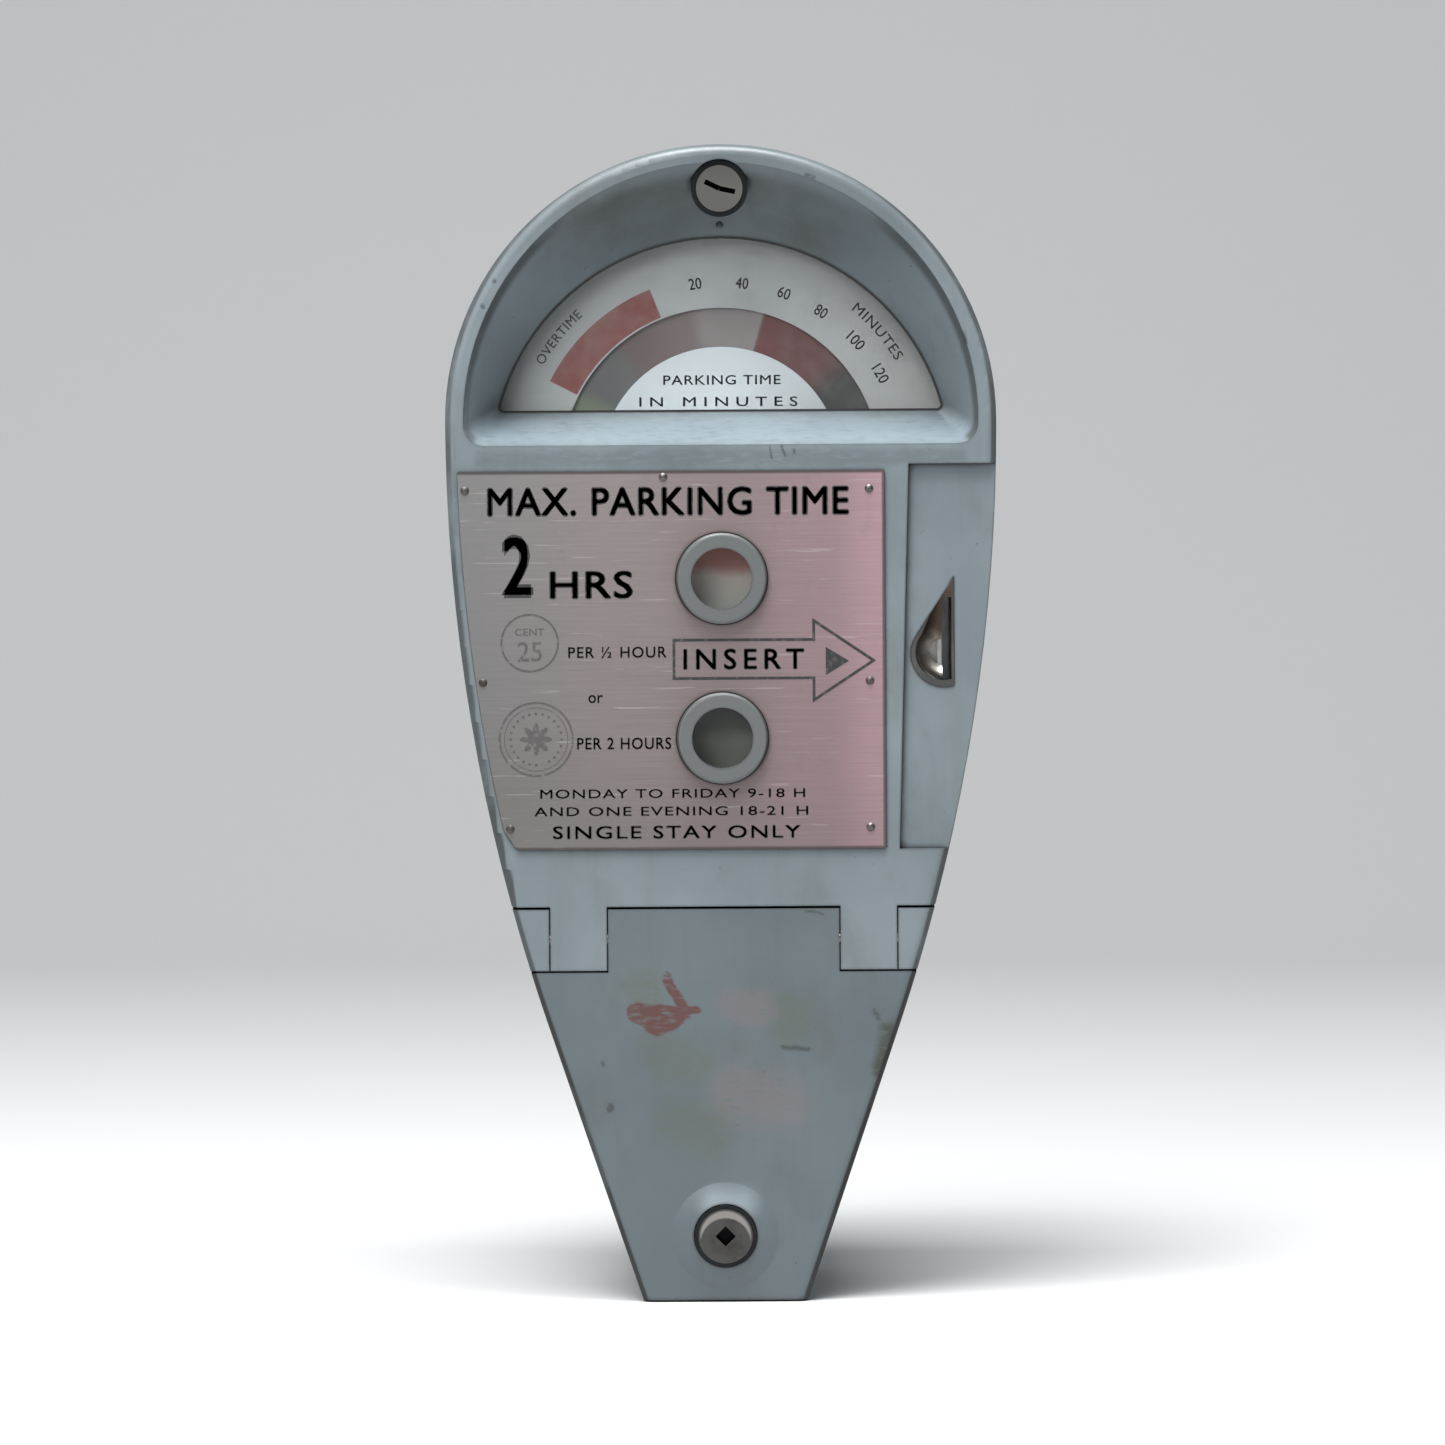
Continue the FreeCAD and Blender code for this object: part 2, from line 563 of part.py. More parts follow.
def front_cover():
    shell = HEAD.common(box(-120, 120, Y_FRONT - 1, Y_COVER_BACK, COVER_LOW, 400))
    shell = shell.cut(head_prism(WALL, Y_FRONT + FACE_WALL, 0, HINGE_Z))
    back = GLASS_LAP + RIM_W
    mouth = arch_wire(Y_FRONT + 1, HOOD_R + HOOD_WALL, DOME_Z, HOOD_LOW_Z - HOOD_WALL, HOOD_CORNER)
    throat = arch_wire(Y_GLASS, GLASS_R + back, DIAL_Z, GLASS_LOW_Z - back, WINDOW_CORNER + 5)
    hood = Part.makeLoft([mouth, throat], True, True)
    mouth = arch_wire(Y_FRONT, HOOD_R, DOME_Z, HOOD_LOW_Z, HOOD_CORNER)
    throat = arch_wire(Y_GLASS, GLASS_R, DIAL_Z, GLASS_LOW_Z, WINDOW_CORNER)
    hood_cut = Part.makeLoft([mouth, throat], True, True)
    barrel_way = rod(0, UPPER_LOCK_Z, LOCK_BODY_R + 0.3, Y_GLASS, 0)
    screw_angles = (-64, -32, 32, 64)
    outline = (GLASS_R, GLASS_LOW_Z, WINDOW_CORNER)
    rim, rim_cuts = glazing("window", outline, Y_GLASS, 1, screw_angles, [barrel_way])
    y_well = Y_FRONT + UPPER_LOCK_SINK + LOCK_FACE_T + LOCK_FLANGE_T
    boss = rod(0, UPPER_LOCK_Z, LOCK_WELL_R + 0.4, y_well, Y_GLASS)
    bosses = [rod(0, z, WINDOW_BOSS_R, Y_FRONT - WINDOW_BOSS_H, Y_FRONT + 1) for z in WINDOW_PLACES]
    bosses = [round_edges(b, 1.2, at_y(Y_FRONT - WINDOW_BOSS_H)) for b in bosses]
    tabs = []
    tab_cuts = []
    for side in (-1, 1):
        x0, x1 = sorted((side * (TONGUE_HALF + SEAM), side * TAB_OUT))
        block, swing, bore = knuckle(x0, x1, HINGE_Z - KNUCKLE_H, COVER_LOW + 3, PIN_R + PIN_CLEAR)
        low = block.common(swing)
        tabs += [low, box(x0, x1, Y_FRONT, Y_FRONT + FACE_WALL, HINGE_Z, COVER_LOW + 3)]
        tab_cuts.append(bore)
    shell = cut(shell, [swing_cut(120)])
    shell = join([shell, hood, rim, boss] + bosses + tabs)
    cuts = [hood_cut] + rim_cuts + tab_cuts
    cuts.append(arch(0, Y_GLASS - 0.01, Y_GLASS + 10))
    cuts.append(arch(0, Y_FRONT - 5, Y_FRONT + 0.01, HOOD_R, HOOD_LOW_Z, DOME_Z, HOOD_CORNER))
    cuts += [rod(0, z, WINDOW_HOLE_R, Y_FRONT - 10, Y_FRONT + 10) for z in WINDOW_PLACES]
    y_lens = Y_FRONT + FACE_WALL - LENS_T - 0.5
    cuts += [rod(0, z, LENS_R + 0.15, y_lens, Y_FRONT + 10) for z in WINDOW_PLACES]
    cuts += [rod(x, z, SMALL_SCREW_R, Y_FRONT + FACE_WALL - 4, Y_FRONT + 10) for x, z in CLAMP_SCREWS]
    cuts += [rod(x, z, RIVET_R, Y_FRONT - 1, Y_FRONT + 4) for x, z in RIVET_PLACES]
    cuts += [rod(x, z, SMALL_SCREW_R, Y_FRONT + FACE_WALL - 2.5, Y_FRONT + 10) for x, z in ENTRY_SCREWS]
    cuts.append(rod(0, UPPER_LOCK_Z, LOCK_BODY_R, Y_FRONT, 0))
    cuts.append(rod(0, UPPER_LOCK_Z, LOCK_WELL_R + 0.3, Y_FRONT - 1, y_well))
    cuts.append(rod(0, UPPER_LOCK_Z, LOCK_NUT_R + 0.4, Y_GLASS, Y_COVER_BACK + 1))
    cuts.append(rod(0, UPPER_LOCK_Z - DIMPLE_DROP, 1.2, Y_FRONT, Y_GLASS - 3))
    channel = [(CHANNEL_X + 2.5, CHANNEL_TOP), (CHANNEL_X - 1, CHANNEL_LOW)]
    channel += [(120, CHANNEL_LOW), (120, CHANNEL_TOP)]
    cuts.append(polygon_y(channel, Y_FRONT - 1, Y_FRONT + CHANNEL_DEPTH))
    cuts.append(entry_outline(0.0, Y_FRONT - 1, Y_FRONT + 10))
    node("front_cover", cut(shell, cuts))


def entry_outline(grow, y0, y1):
    """The coin entry's teardrop: a round lobe on the left that narrows to a point at the top right."""
    r = ENTRY_LOBE_R + grow
    right = ENTRY_X + grow
    top = Vector(right, y0, ENTRY_TOP + grow)
    reach_x, reach_z = top.x - ENTRY_LOBE_X, top.z - ENTRY_LOBE_Z
    lean = math.atan2(reach_x, reach_z)
    touch = math.degrees(lean) - math.degrees(math.acos(r / math.hypot(reach_x, reach_z)))
    low = math.degrees(math.acos((right - ENTRY_LOBE_X) / r)) + 90
    start = polar(ENTRY_LOBE_X, ENTRY_LOBE_Z, r, touch, y0)
    finish = polar(ENTRY_LOBE_X, ENTRY_LOBE_Z, r, low - 360, y0)
    middle = polar(ENTRY_LOBE_X, ENTRY_LOBE_Z, r, (touch + low - 360) / 2, y0)
    wire = Part.Wire([line(top, start), arc(start, middle, finish), line(finish, top)])
    return extrude_y(wire, y1 - y0)


def coin_entry_insert():
    """The polished coin entry: a dished scoop that leads the coin to an upright slit at its right."""
    y_face = Y_FRONT + CHANNEL_DEPTH - 0.4
    y_in = Y_FRONT + FACE_WALL
    body = entry_outline(-0.1, y_face, y_in + 1)
    flange = entry_outline(2.0, y_in, y_in + 1.5)
    ears = [rod(x, z, 4.0, y_in, y_in + 1.5) for x, z in ENTRY_SCREWS]
    webs = [box(x - 4, x + 4, y_in, y_in + 1.5, *sorted((z, ENTRY_LOBE_Z))) for x, z in ENTRY_SCREWS]
    body = join([body, flange] + ears + webs)
    middle = Vector(ENTRY_X - 3.6, y_face - 3.4, ENTRY_LOBE_Z + 0.5)
    dish = Part.makeSphere(ENTRY_LOBE_R - 1.2, middle)
    reach = Vector(ENTRY_X - 1.2 - middle.x, 0, ENTRY_TOP - 1.5 - middle.z)
    taper = Part.makeCone(ENTRY_LOBE_R - 1.2, 3.4, reach.Length, middle, reach)
    dish = dish.fuse(taper).common(box(0, ENTRY_X - ENTRY_MARGIN, -100, 0, 0, 400))
    slit_x = ENTRY_X - ENTRY_MARGIN
    slit = box(slit_x - COIN_SLIT, slit_x, y_face - 1, y_in + 5, SLIT_LOW, SLIT_HIGH)
    holes = [screw_hole(x, z, y_in - 1, y_in + 3, SMALL_SCREW_R) for x, z in ENTRY_SCREWS]
    node("coin_entry_insert", cut(body, [dish, slit] + holes))
    screws = [small_screw(x, z, y_in + 1.5, y_in - 2.3) for x, z in ENTRY_SCREWS]
    node("coin_entry_screws", group(screws))


def cover_trim():
    """The lenses and their clamp, the instruction plate and its rivets."""
    y_in = Y_FRONT + FACE_WALL
    lenses = [rod(0, z, LENS_R, y_in - LENS_T - 0.5, y_in - 0.5) for z in WINDOW_PLACES]
    node("coin_window_lenses", group([round_edges(l, 0.8, at_y(y_in - LENS_T - 0.5)) for l in lenses]))
    low, high = WINDOW_PLACES[1] - 16, WINDOW_PLACES[0] + 16
    clamp = box(-CLAMP_HALF, CLAMP_HALF, y_in, y_in + 1, low, high)
    pads = [ring(0, z, WINDOW_HOLE_R + 0.5, LENS_R, y_in - 0.5, y_in + 1) for z in WINDOW_PLACES]
    cuts = [rod(0, z, WINDOW_HOLE_R + 0.5, y_in - 2, y_in + 2) for z in WINDOW_PLACES]
    cuts += [screw_hole(x, z, y_in - 2, y_in + 2, SMALL_SCREW_R) for x, z in CLAMP_SCREWS]
    node("coin_window_clamp", cut(join([clamp] + pads), cuts))
    screws = [small_screw(x, z, y_in + 1, y_in - 3.5) for x, z in CLAMP_SCREWS]
    node("clamp_screws", group(screws))

    plate = head_prism(PLATE_INSET, Y_FRONT - PLATE_T, Y_FRONT, PLATE_LOW)
    plate = plate.common(box(-120, PLATE_RIGHT, Y_FRONT - 5, Y_FRONT + 5, PLATE_LOW, PLATE_TOP))
    edge = -half_width(PLATE_LOW, PLATE_INSET)
    corner = [(edge - 9, PLATE_LOW + 18), (edge + 3.5, PLATE_LOW - 1), (edge - 20, PLATE_LOW - 1)]
    cuts = [polygon_y(corner, Y_FRONT - 5, Y_FRONT + 5)]
    cuts += [rod(0, z, WINDOW_BOSS_R + 0.3, Y_FRONT - 5, Y_FRONT + 5) for z in WINDOW_PLACES]
    cuts += [rod(x, z, RIVET_R, Y_FRONT - 5, Y_FRONT + 5) for x, z in RIVET_PLACES]
    node("instruction_plate", cut(plate, cuts))
    rivets = []
    for x, z in RIVET_PLACES:
        dome = Part.makeSphere(RIVET_HEAD_R * 1.3, Vector(x, Y_FRONT - PLATE_T + RIVET_HEAD_R * 0.75, z))
        dome = dome.common(rod(x, z, RIVET_HEAD_R, Y_FRONT - PLATE_T - 3, Y_FRONT - PLATE_T))
        rivets.append(join([dome, rod(x, z, RIVET_R, Y_FRONT - PLATE_T, Y_FRONT + 4)]))
    node("plate_rivets", group(rivets))


def key_slot(z, y_face, degrees, reach):
    """A bent keyway: two short slots that meet at the middle."""
    slots = []
    for side, bend in ((-1, 12), (1, -2)):
        slot = box(min(0, side * reach), max(0, side * reach), y_face - 1, y_face + 6, z - 0.85, z + 0.85)
        slot.rotate(Vector(0, y_face, z), AXIS_Y, degrees + bend)
        slots.append(slot)
    return join(slots)


def upper_lock():
    y_face = Y_FRONT + UPPER_LOCK_SINK
    tail = Y_UPPER_CAM + CAM_T + 0.6
    plug = lock("upper_lock", UPPER_LOCK_Z, y_face, Y_GLASS, Y_UPPER_BARREL, tail, LOCK_FACE_R, LOCK_WELL_R)
    node("upper_lock_plug", plug.cut(key_slot(UPPER_LOCK_Z, y_face, 14, 5.3)))
    lock_cam("upper_lock", UPPER_LOCK_Z, Y_UPPER_CAM, UPPER_CAM_REACH)


# ================================================================ vault door
def vault_door():
    plate = HEAD.common(box(-120, 120, Y_FRONT - 1, Y_DOOR_BACK, DOOR_LOW, DOOR_TOP)).cut(swing_cut(120))
    knuckle_top = HINGE_Z + KNUCKLE_H
    block, swing, bore = knuckle(-TONGUE_HALF, TONGUE_HALF, DOOR_TOP - 3, knuckle_top, PIN_R + PIN_CLEAR)
    neck = box(-TONGUE_HALF, TONGUE_HALF, Y_FRONT, Y_DOOR_BACK, DOOR_TOP - 4, HINGE_Z)
    frame = head_prism(WALL + 2, Y_DOOR_BACK - 1, Y_DOOR_BACK + 4, FOOT_TOP + 4)
    frame = frame.cut(head_prism(WALL + 5, Y_DOOR_BACK - 2, Y_DOOR_BACK + 5, FOOT_TOP + 7))
    frame = frame.common(box(-120, 120, -100, 0, 0, DOOR_TOP - 10))
    dome_r = (LOWER_BOSS_R**2 + LOWER_BOSS_H**2) / (2 * LOWER_BOSS_H)
    dome = Part.makeSphere(dome_r, Vector(0, Y_FRONT - LOWER_BOSS_H + dome_r, LOWER_LOCK_Z))
    dome = dome.common(rod(0, LOWER_LOCK_Z, LOWER_BOSS_R + 1, Y_FRONT - LOWER_BOSS_H - 1, Y_FRONT + 1))
    door = join([plate, block.common(swing), neck, frame, dome])
    y_face = Y_FRONT - LOWER_BOSS_H - 0.5
    well = rod(0, LOWER_LOCK_Z, LOWER_RING_R + 0.3, y_face - 0.5, y_face + LOCK_FACE_T + LOCK_FLANGE_T)
    node("vault_door", cut(door, [bore, well, rod(0, LOWER_LOCK_Z, LOCK_BODY_R, -100, 0)]))
    tail = Y_LOWER_CAM + CAM_T + 1.0
    barrel = Y_LOWER_CAM - 0.3
    plug = lock("lower_lock", LOWER_LOCK_Z, y_face, Y_DOOR_BACK, barrel, tail, LOWER_FACE_R, LOWER_RING_R)
    diamond = [polar(0, LOWER_LOCK_Z, 3.4, 90 * n) for n in range(4)]
    key = polygon_y([(p.x, p.z) for p in diamond], y_face - 1.5, y_face + 5.5)
    node("lower_lock_plug", plug.cut(key))
    lock_cam("lower_lock", LOWER_LOCK_Z, Y_LOWER_CAM, LOWER_CAM_REACH)


# ================================================================ rear housing
def rear_housing():
    upper = HEAD.common(box(-120, 120, Y_HOUSING_FRONT, 100, HINGE_Z, 400))
    lower = HEAD.common(box(-120, 120, Y_LOWER_FRONT, 100, FOOT_TOP, COVER_LOW - SEAM))
    ears = HEAD.common(
        box(-120, 120, Y_FRONT - 1, Y_FRONT + EAR_DEPTH, HINGE_Z - KNUCKLE_H, HINGE_Z + KNUCKLE_H)
    ).cut(box(-EAR_IN, EAR_IN, -100, 0, 0, 400))
    body = join([upper, lower]).cut(HOLLOW)
    ledges = []
    for side in (-1, 1):
        x0, x1 = sorted((side * LEDGE_IN, side * 100))
        ledges.append(HEAD.common(box(x0, x1, Y_HOUSING_FRONT + 1.2, Y_BACK - 12, SHELF_Z - 6, SHELF_Z)))
    posts = [rod(x, z, 6, REAR_PLATE_Y + MOVE_PLATE_T, Y_BACK - 2) for x, z in MOUNT_PLACES]
    pads = []
    for x, y in FOOT_SCREWS:
        side = math.copysign(1, x)
        if y < 0:
            x0, x1 = sorted((x - 3.5 * side, x + 8.0 * side))
            pad = box(x0, x1, y - 2.4, y + 2.4, FOOT_TOP, FOOT_TOP + FOOT_PAD_H)
        else:
            pad = box(x - 3.5, x + 3.5, y - 3.2, y + 8.0, FOOT_TOP, FOOT_TOP + FOOT_PAD_H)
        pads.append(HEAD.common(pad))
    seat = Y_BACK - WALL
    outline = (REAR_GLASS_R, REAR_GLASS_LOW_Z, REAR_CORNER)
    rim, rim_cuts = glazing("rear_window", outline, seat, -1, (-55, -20, 20, 55))
    strike_block = box(-12, 12, Y_STRIKE_FOOT, Y_STRIKE_FOOT + 10, UPPER_STRIKE_Z + 3, DOME_Z + DOME_R - 2)
    body = join([body, ears, rim, strike_block] + ledges + posts + pads)
    through = arch(0, seat - 10, Y_BACK + 5, REAR_GLASS_R, REAR_GLASS_LOW_Z, DIAL_Z, REAR_CORNER)
    cuts = rim_cuts + [through]
    cuts.append(bar_x(HINGE_Y, HINGE_Z, PIN_R, -PIN_HALF, PIN_HALF))
    cuts += [rod(x, z, 1.5, REAR_PLATE_Y, REAR_PLATE_Y + MOVE_PLATE_T + 12) for x, z in MOUNT_PLACES]
    cuts += [rod(x, z, SMALL_SCREW_R, Y_STRIKE_FOOT - 1, Y_STRIKE_FOOT + 6) for x, z in STRIKE_SCREWS]
    cuts += [Part.makeCylinder(1.5, 5.0, Vector(x, y, SHELF_Z - 5)) for x, y in SHELF_SCREWS]
    cuts += [Part.makeCylinder(1.5, FOOT_PAD_H - 2, Vector(x, y, FOOT_TOP)) for x, y in FOOT_SCREWS]
    node("rear_housing", cut(body, cuts))
    node("hinge_pin", bar_x(HINGE_Y, HINGE_Z, PIN_R, -PIN_HALF, PIN_HALF))


def socket_foot():
    """The casting under the vault: the vault's floor, and the socket that slides over the post."""
    body = HEAD.common(box(-120, 120, Y_LOWER_FRONT, 100, 0, FOOT_TOP))
    hollow = HOLLOW.common(box(-120, 120, -120, 100, 0, VAULT_FLOOR_Z))
    hollow = hollow.cut(Part.makeCylinder(POST_R + SOCKET_WALL, FOOT_TOP, Vector(0, 0, 0)))
    hollow = cut(hollow, [rod(0, z, SET_SCREW_R + 4, 0, 100) for z in SET_SCREW_PLACES])
    cuts = [hollow, Part.makeCylinder(POST_R, SOCKET_DEPTH, Vector(0, 0, 0))]
    cuts += [rod(0, z, SET_SCREW_R, 0, 100) for z in SET_SCREW_PLACES]
    cuts += [Part.makeCylinder(1.5, 4.0, Vector(x, y, VAULT_FLOOR_Z)) for x, y in LOWER_STRIKE_SCREWS]
    clear, deep = 1.5 + SCREW_CLEAR, VAULT_FLOOR_T + 2
    cuts += [Part.makeCylinder(clear, deep, Vector(x, y, VAULT_FLOOR_Z - 1)) for x, y in FOOT_SCREWS]
    node("socket_foot", cut(body, cuts))
    node("foot_screws", group([z_screw(x, y, VAULT_FLOOR_Z, FOOT_TOP + 7) for x, y in FOOT_SCREWS]))
    set_screws = []
    for z in SET_SCREW_PLACES:
        y_end = Y_BACK - (BACK_TAPER_Z - z) * BACK_TAPER / BACK_TAPER_Z - 1.0
        grub = rod(0, z, SET_SCREW_R, POST_R + 0.5, y_end)
        flats = [polar(0, z, 2.3, 60 * n) for n in range(6)]
        set_screws.append(grub.cut(polygon_y([(p.x, p.z) for p in flats], y_end - 4, y_end + 1)))
    node("post_set_screws", group(set_screws))


def z_screw(x, y, z_head, z_tip, r=1.5, head_r=2.8, head_t=1.8):
    """A pan-head screw along Z, its head on the side away from the tip."""
    way = 1 if z_head > z_tip else -1
    head = Part.makeCylinder(head_r, head_t, Vector(x, y, z_head), Vector(0, 0, way))
    slot_z = z_head + way * head_t
    head = head.cut(box(x - 4, x + 4, y - 0.45, y + 0.45, slot_z - 0.8, slot_z + 0.8))
    return join([head, Part.makeCylinder(r, abs(z_head - z_tip), Vector(x, y, min(z_head, z_tip)))])


def strikes():
    """The two brackets that the lock cams turn behind."""
    z0, z1 = UPPER_STRIKE_Z, UPPER_STRIKE_Z + 3.6
    plate = box(-14, 14, Y_UPPER_CAM - 3.0, Y_UPPER_CAM - 0.8, z0, z1)
    arms = [box(x, x + 2.5, Y_UPPER_CAM - 3.0, Y_STRIKE_FOOT, z0, z1) for x in (-14, 11.5)]
    foot = box(-14, 14, Y_STRIKE_FOOT - 2, Y_STRIKE_FOOT, z0, z1 + 12.5)
    y0, y1 = Y_STRIKE_FOOT - 5, Y_STRIKE_FOOT + 1
    holes = [screw_hole(x, z, y0, y1, SMALL_SCREW_R) for x, z in STRIKE_SCREWS]
    node("upper_strike", cut(join([plate, foot] + arms), holes))
    low = LOWER_LOCK_Z + LOCK_NUT_R + 0.8
    blade = box(-9, 9, Y_LOWER_CAM - 3.0, Y_STRIKE_BLADE, low, VAULT_FLOOR_Z)
    flange = box(-9, 9, Y_LOWER_CAM - 3.0, LOWER_STRIKE_BACK, VAULT_FLOOR_Z - 2, VAULT_FLOOR_Z)
    z_hole = VAULT_FLOOR_Z - 5
    holes = [Part.makeCylinder(1.5 + SCREW_CLEAR, 10, Vector(x, y, z_hole)) for x, y in LOWER_STRIKE_SCREWS]
    node("lower_strike", cut(join([blade, flange]), holes))
    screws = [small_screw(x, z, Y_STRIKE_FOOT - 2, Y_STRIKE_FOOT + 5) for x, z in STRIKE_SCREWS]
    screws += [z_screw(x, y, VAULT_FLOOR_Z - 2, VAULT_FLOOR_Z + 3.5) for x, y in LOWER_STRIKE_SCREWS]
    node("strike_screws", group(screws))


# ================================================================ vault
def vault():
    """The shelf over the vault, the coin box and its pull."""
    z1 = SHELF_Z + SHELF_T
    half = half_width(SHELF_Z, WALL) - 1.0
    shelf = join(
        [
            box(-half, half, Y_HOUSING_FRONT + 1.2, Y_BACK - 14, SHELF_Z, z1),
            box(-LEDGE_IN, LEDGE_IN, Y_FRONT + 16, Y_HOUSING_FRONT + 2, SHELF_Z, z1),
        ]
    )
    cuts = [box(-DROP_HALF, DROP_HALF, DROP_Y0, DROP_Y1, SHELF_Z - 1, z1 + 1)]
    cuts += [Part.makeCylinder(1.5 + SCREW_CLEAR, 10, Vector(x, y, SHELF_Z - 3)) for x, y in SHELF_SCREWS]
    node("vault_shelf", cut(shelf, cuts))
    node("shelf_screws", group([z_screw(x, y, z1, SHELF_Z - 4.5) for x, y in SHELF_SCREWS]))

    z0 = VAULT_FLOOR_Z + VAULT_FLOOR_T
    top = SHELF_Z - 6.5

    def tub(gap, z_low, z_top):
        def level(z):
            half = half_width(z, WALL + BOX_SIDE_GAP + gap)
            y0, y1 = BOX_Y0 + gap, BOX_Y1 - gap
            corners = [Vector(-half, y0, z), Vector(half, y0, z), Vector(half, y1, z), Vector(-half, y1, z)]
            return Part.makePolygon(corners + corners[:1])

        return Part.makeLoft([level(z_low), level(z_top)], True, True)

    tub_outer = tub(0, z0, top).common(box(-LEDGE_IN + 1, LEDGE_IN - 1, -100, 100, z0, top))
    tub_inner = tub(BOX_T, z0 + BOX_T, top + 1).common(
        box(-LEDGE_IN + 1 + BOX_T, LEDGE_IN - 1 - BOX_T, -100, 100, z0, top + 1)
    )
    node("coin_box", tub_outer.cut(tub_inner))
    y0 = BOX_Y0
    pull = join(
        [
            box(-16, -12, y0 - 4.5, y0, 84, 88),
            box(12, 16, y0 - 4.5, y0, 84, 88),
            box(-16, 16, y0 - 5.5, y0 - 3.0, 84, 88),
        ]
    )
    node("coin_box_pull", pull)


# ================================================================ coin path
def coin_path():
    y_front = Y_COIN_WHEEL
    y_back = y_front + COIN_WHEEL_T
    pockets = [polar(0, COIN_WHEEL_Z, COIN_PITCH, 90 * n) for n in range(4)]
    wheel = rod(0, COIN_WHEEL_Z, COIN_WHEEL_R, y_front, y_back)
    mouths = [rod(p.x, p.z, COIN_POCKET_R, y_front - 1, y_back + 1) for p in pockets]
    bore = rod(0, COIN_WHEEL_Z, COIN_ARBOR_R, y_front - 1, y_back + 1)
    node("coin_wheel", cut(wheel, mouths + [bore]))
    node(
        "coin_wheel_arbor",
        join(
            [
                rod(0, COIN_WHEEL_Z, COIN_ARBOR_R, y_front - 1.0, FRONT_PLATE_Y + MOVE_PLATE_T + 1.5),
                rod(0, COIN_WHEEL_Z, COIN_ARBOR_R + 2, y_front - 0.8, y_front),
            ]
        ),
    )
    gap = 0.6
    back = rod(0, COIN_WHEEL_Z, COIN_WHEEL_R + 1, y_back + gap, y_back + gap + 1.5)
    node("coin_back_plate", back.cut(rod(0, COIN_WHEEL_Z, COIN_ARBOR_R + 0.4, y_back, y_back + 5)))
    y0 = y_back + gap + 1.5
    node("coin_plate_posts", group([rod(x, z, 3.0, y0, FRONT_PLATE_Y) for x, z in COIN_POSTS]))

    x0 = ENTRY_X - ENTRY_MARGIN - COIN_SLIT
    t = CHUTE_T
    y_fence = y_back + 0.8
    duct = box(x0 - t, x0 + COIN_SLIT + t, Y_DUCT, FRONT_PLATE_Y, SLIT_LOW - 2 * t, SLIT_HIGH + t)
    bore = box(x0 - 0.2, x0 + COIN_SLIT + 0.2, Y_DUCT - 1, FRONT_PLATE_Y - 2 * t, SLIT_LOW - 0.5, SLIT_HIGH)
    side_door = box(x0 - 2 * t, x0, y_front - 0.5, y_back + 0.5, SLIT_LOW, SLIT_HIGH - 1)
    x_low, x_high = COIN_WHEEL_R + 1.5, x0 - t / 2
    runway = box(x_low, x_high, y_front - 0.8, y_fence + t, SLIT_LOW - 2 * t, SLIT_LOW - 0.8)
    fence = box(x_low, x_high, y_fence, y_fence + t, SLIT_LOW - 1, SLIT_HIGH - 3)
    tongue = box(PLATE_HALF - 6, x_high, FRONT_PLATE_Y - t, FRONT_PLATE_Y, SLIT_LOW + 4, SLIT_HIGH - 4)
    chute = join([duct, runway, fence, tongue]).cut(bore).cut(side_door)
    node("coin_inlet_chute", chute)

    z1 = SHELF_Z + SHELF_T
    z2 = COIN_WHEEL_Z - COIN_WHEEL_R - 1.5

    def mouth(z, half, y_0, y_1):
        corners = [Vector(-half, y_0, z), Vector(half, y_0, z), Vector(half, y_1, z), Vector(-half, y_1, z)]
        return Part.makePolygon(corners + corners[:1])

    y0, y1 = y_front - 0.8, y_back + 2
    low, high = (DROP_HALF, DROP_Y0, DROP_Y1), (DROP_HALF + 3, y0, y1)
    outer_ends = [mouth(z, half + t, lo - t, hi + t) for z, (half, lo, hi) in ((z1, low), (z2, high))]
    inner_ends = [mouth(z, half, lo, hi) for z, (half, lo, hi) in ((z1, low), (z2, high))]
    outer, inner = (Part.makeLoft(ends, True, True) for ends in (outer_ends, inner_ends))
    node("coin_drop_chute", outer.cut(inner))


# ================================================================ movement
def gear_arbor(name, place, wheels, extra=(), y0=None, y1=None):
    """An arbor with its wheels. wheels are (teeth, y0, y1, phase)."""
    x, z = place
    y0 = FRONT_PLATE_Y if y0 is None else y0
    y1 = REAR_PLATE_Y + MOVE_PLATE_T if y1 is None else y1
    pieces = [rod(x, z, ARBOR_R, y0, y1)] + list(extra)
    for teeth, g0, g1, phase in wheels:
        gear = gear_teeth(x, z, teeth, g0, g1, ARBOR_R - 0.5, phase)
        if teeth > 30:
            r = MODULE * teeth / 2
            windows = [(0.3 * r, 0.78 * r, 72 * n + 8, 72 * n + 64) for n in range(5)]
            gear = cut(gear, [sector(x, z, *window, g0 - 1, g1 + 1) for window in windows])
        pieces.append(gear)
    node(name, join(pieces))


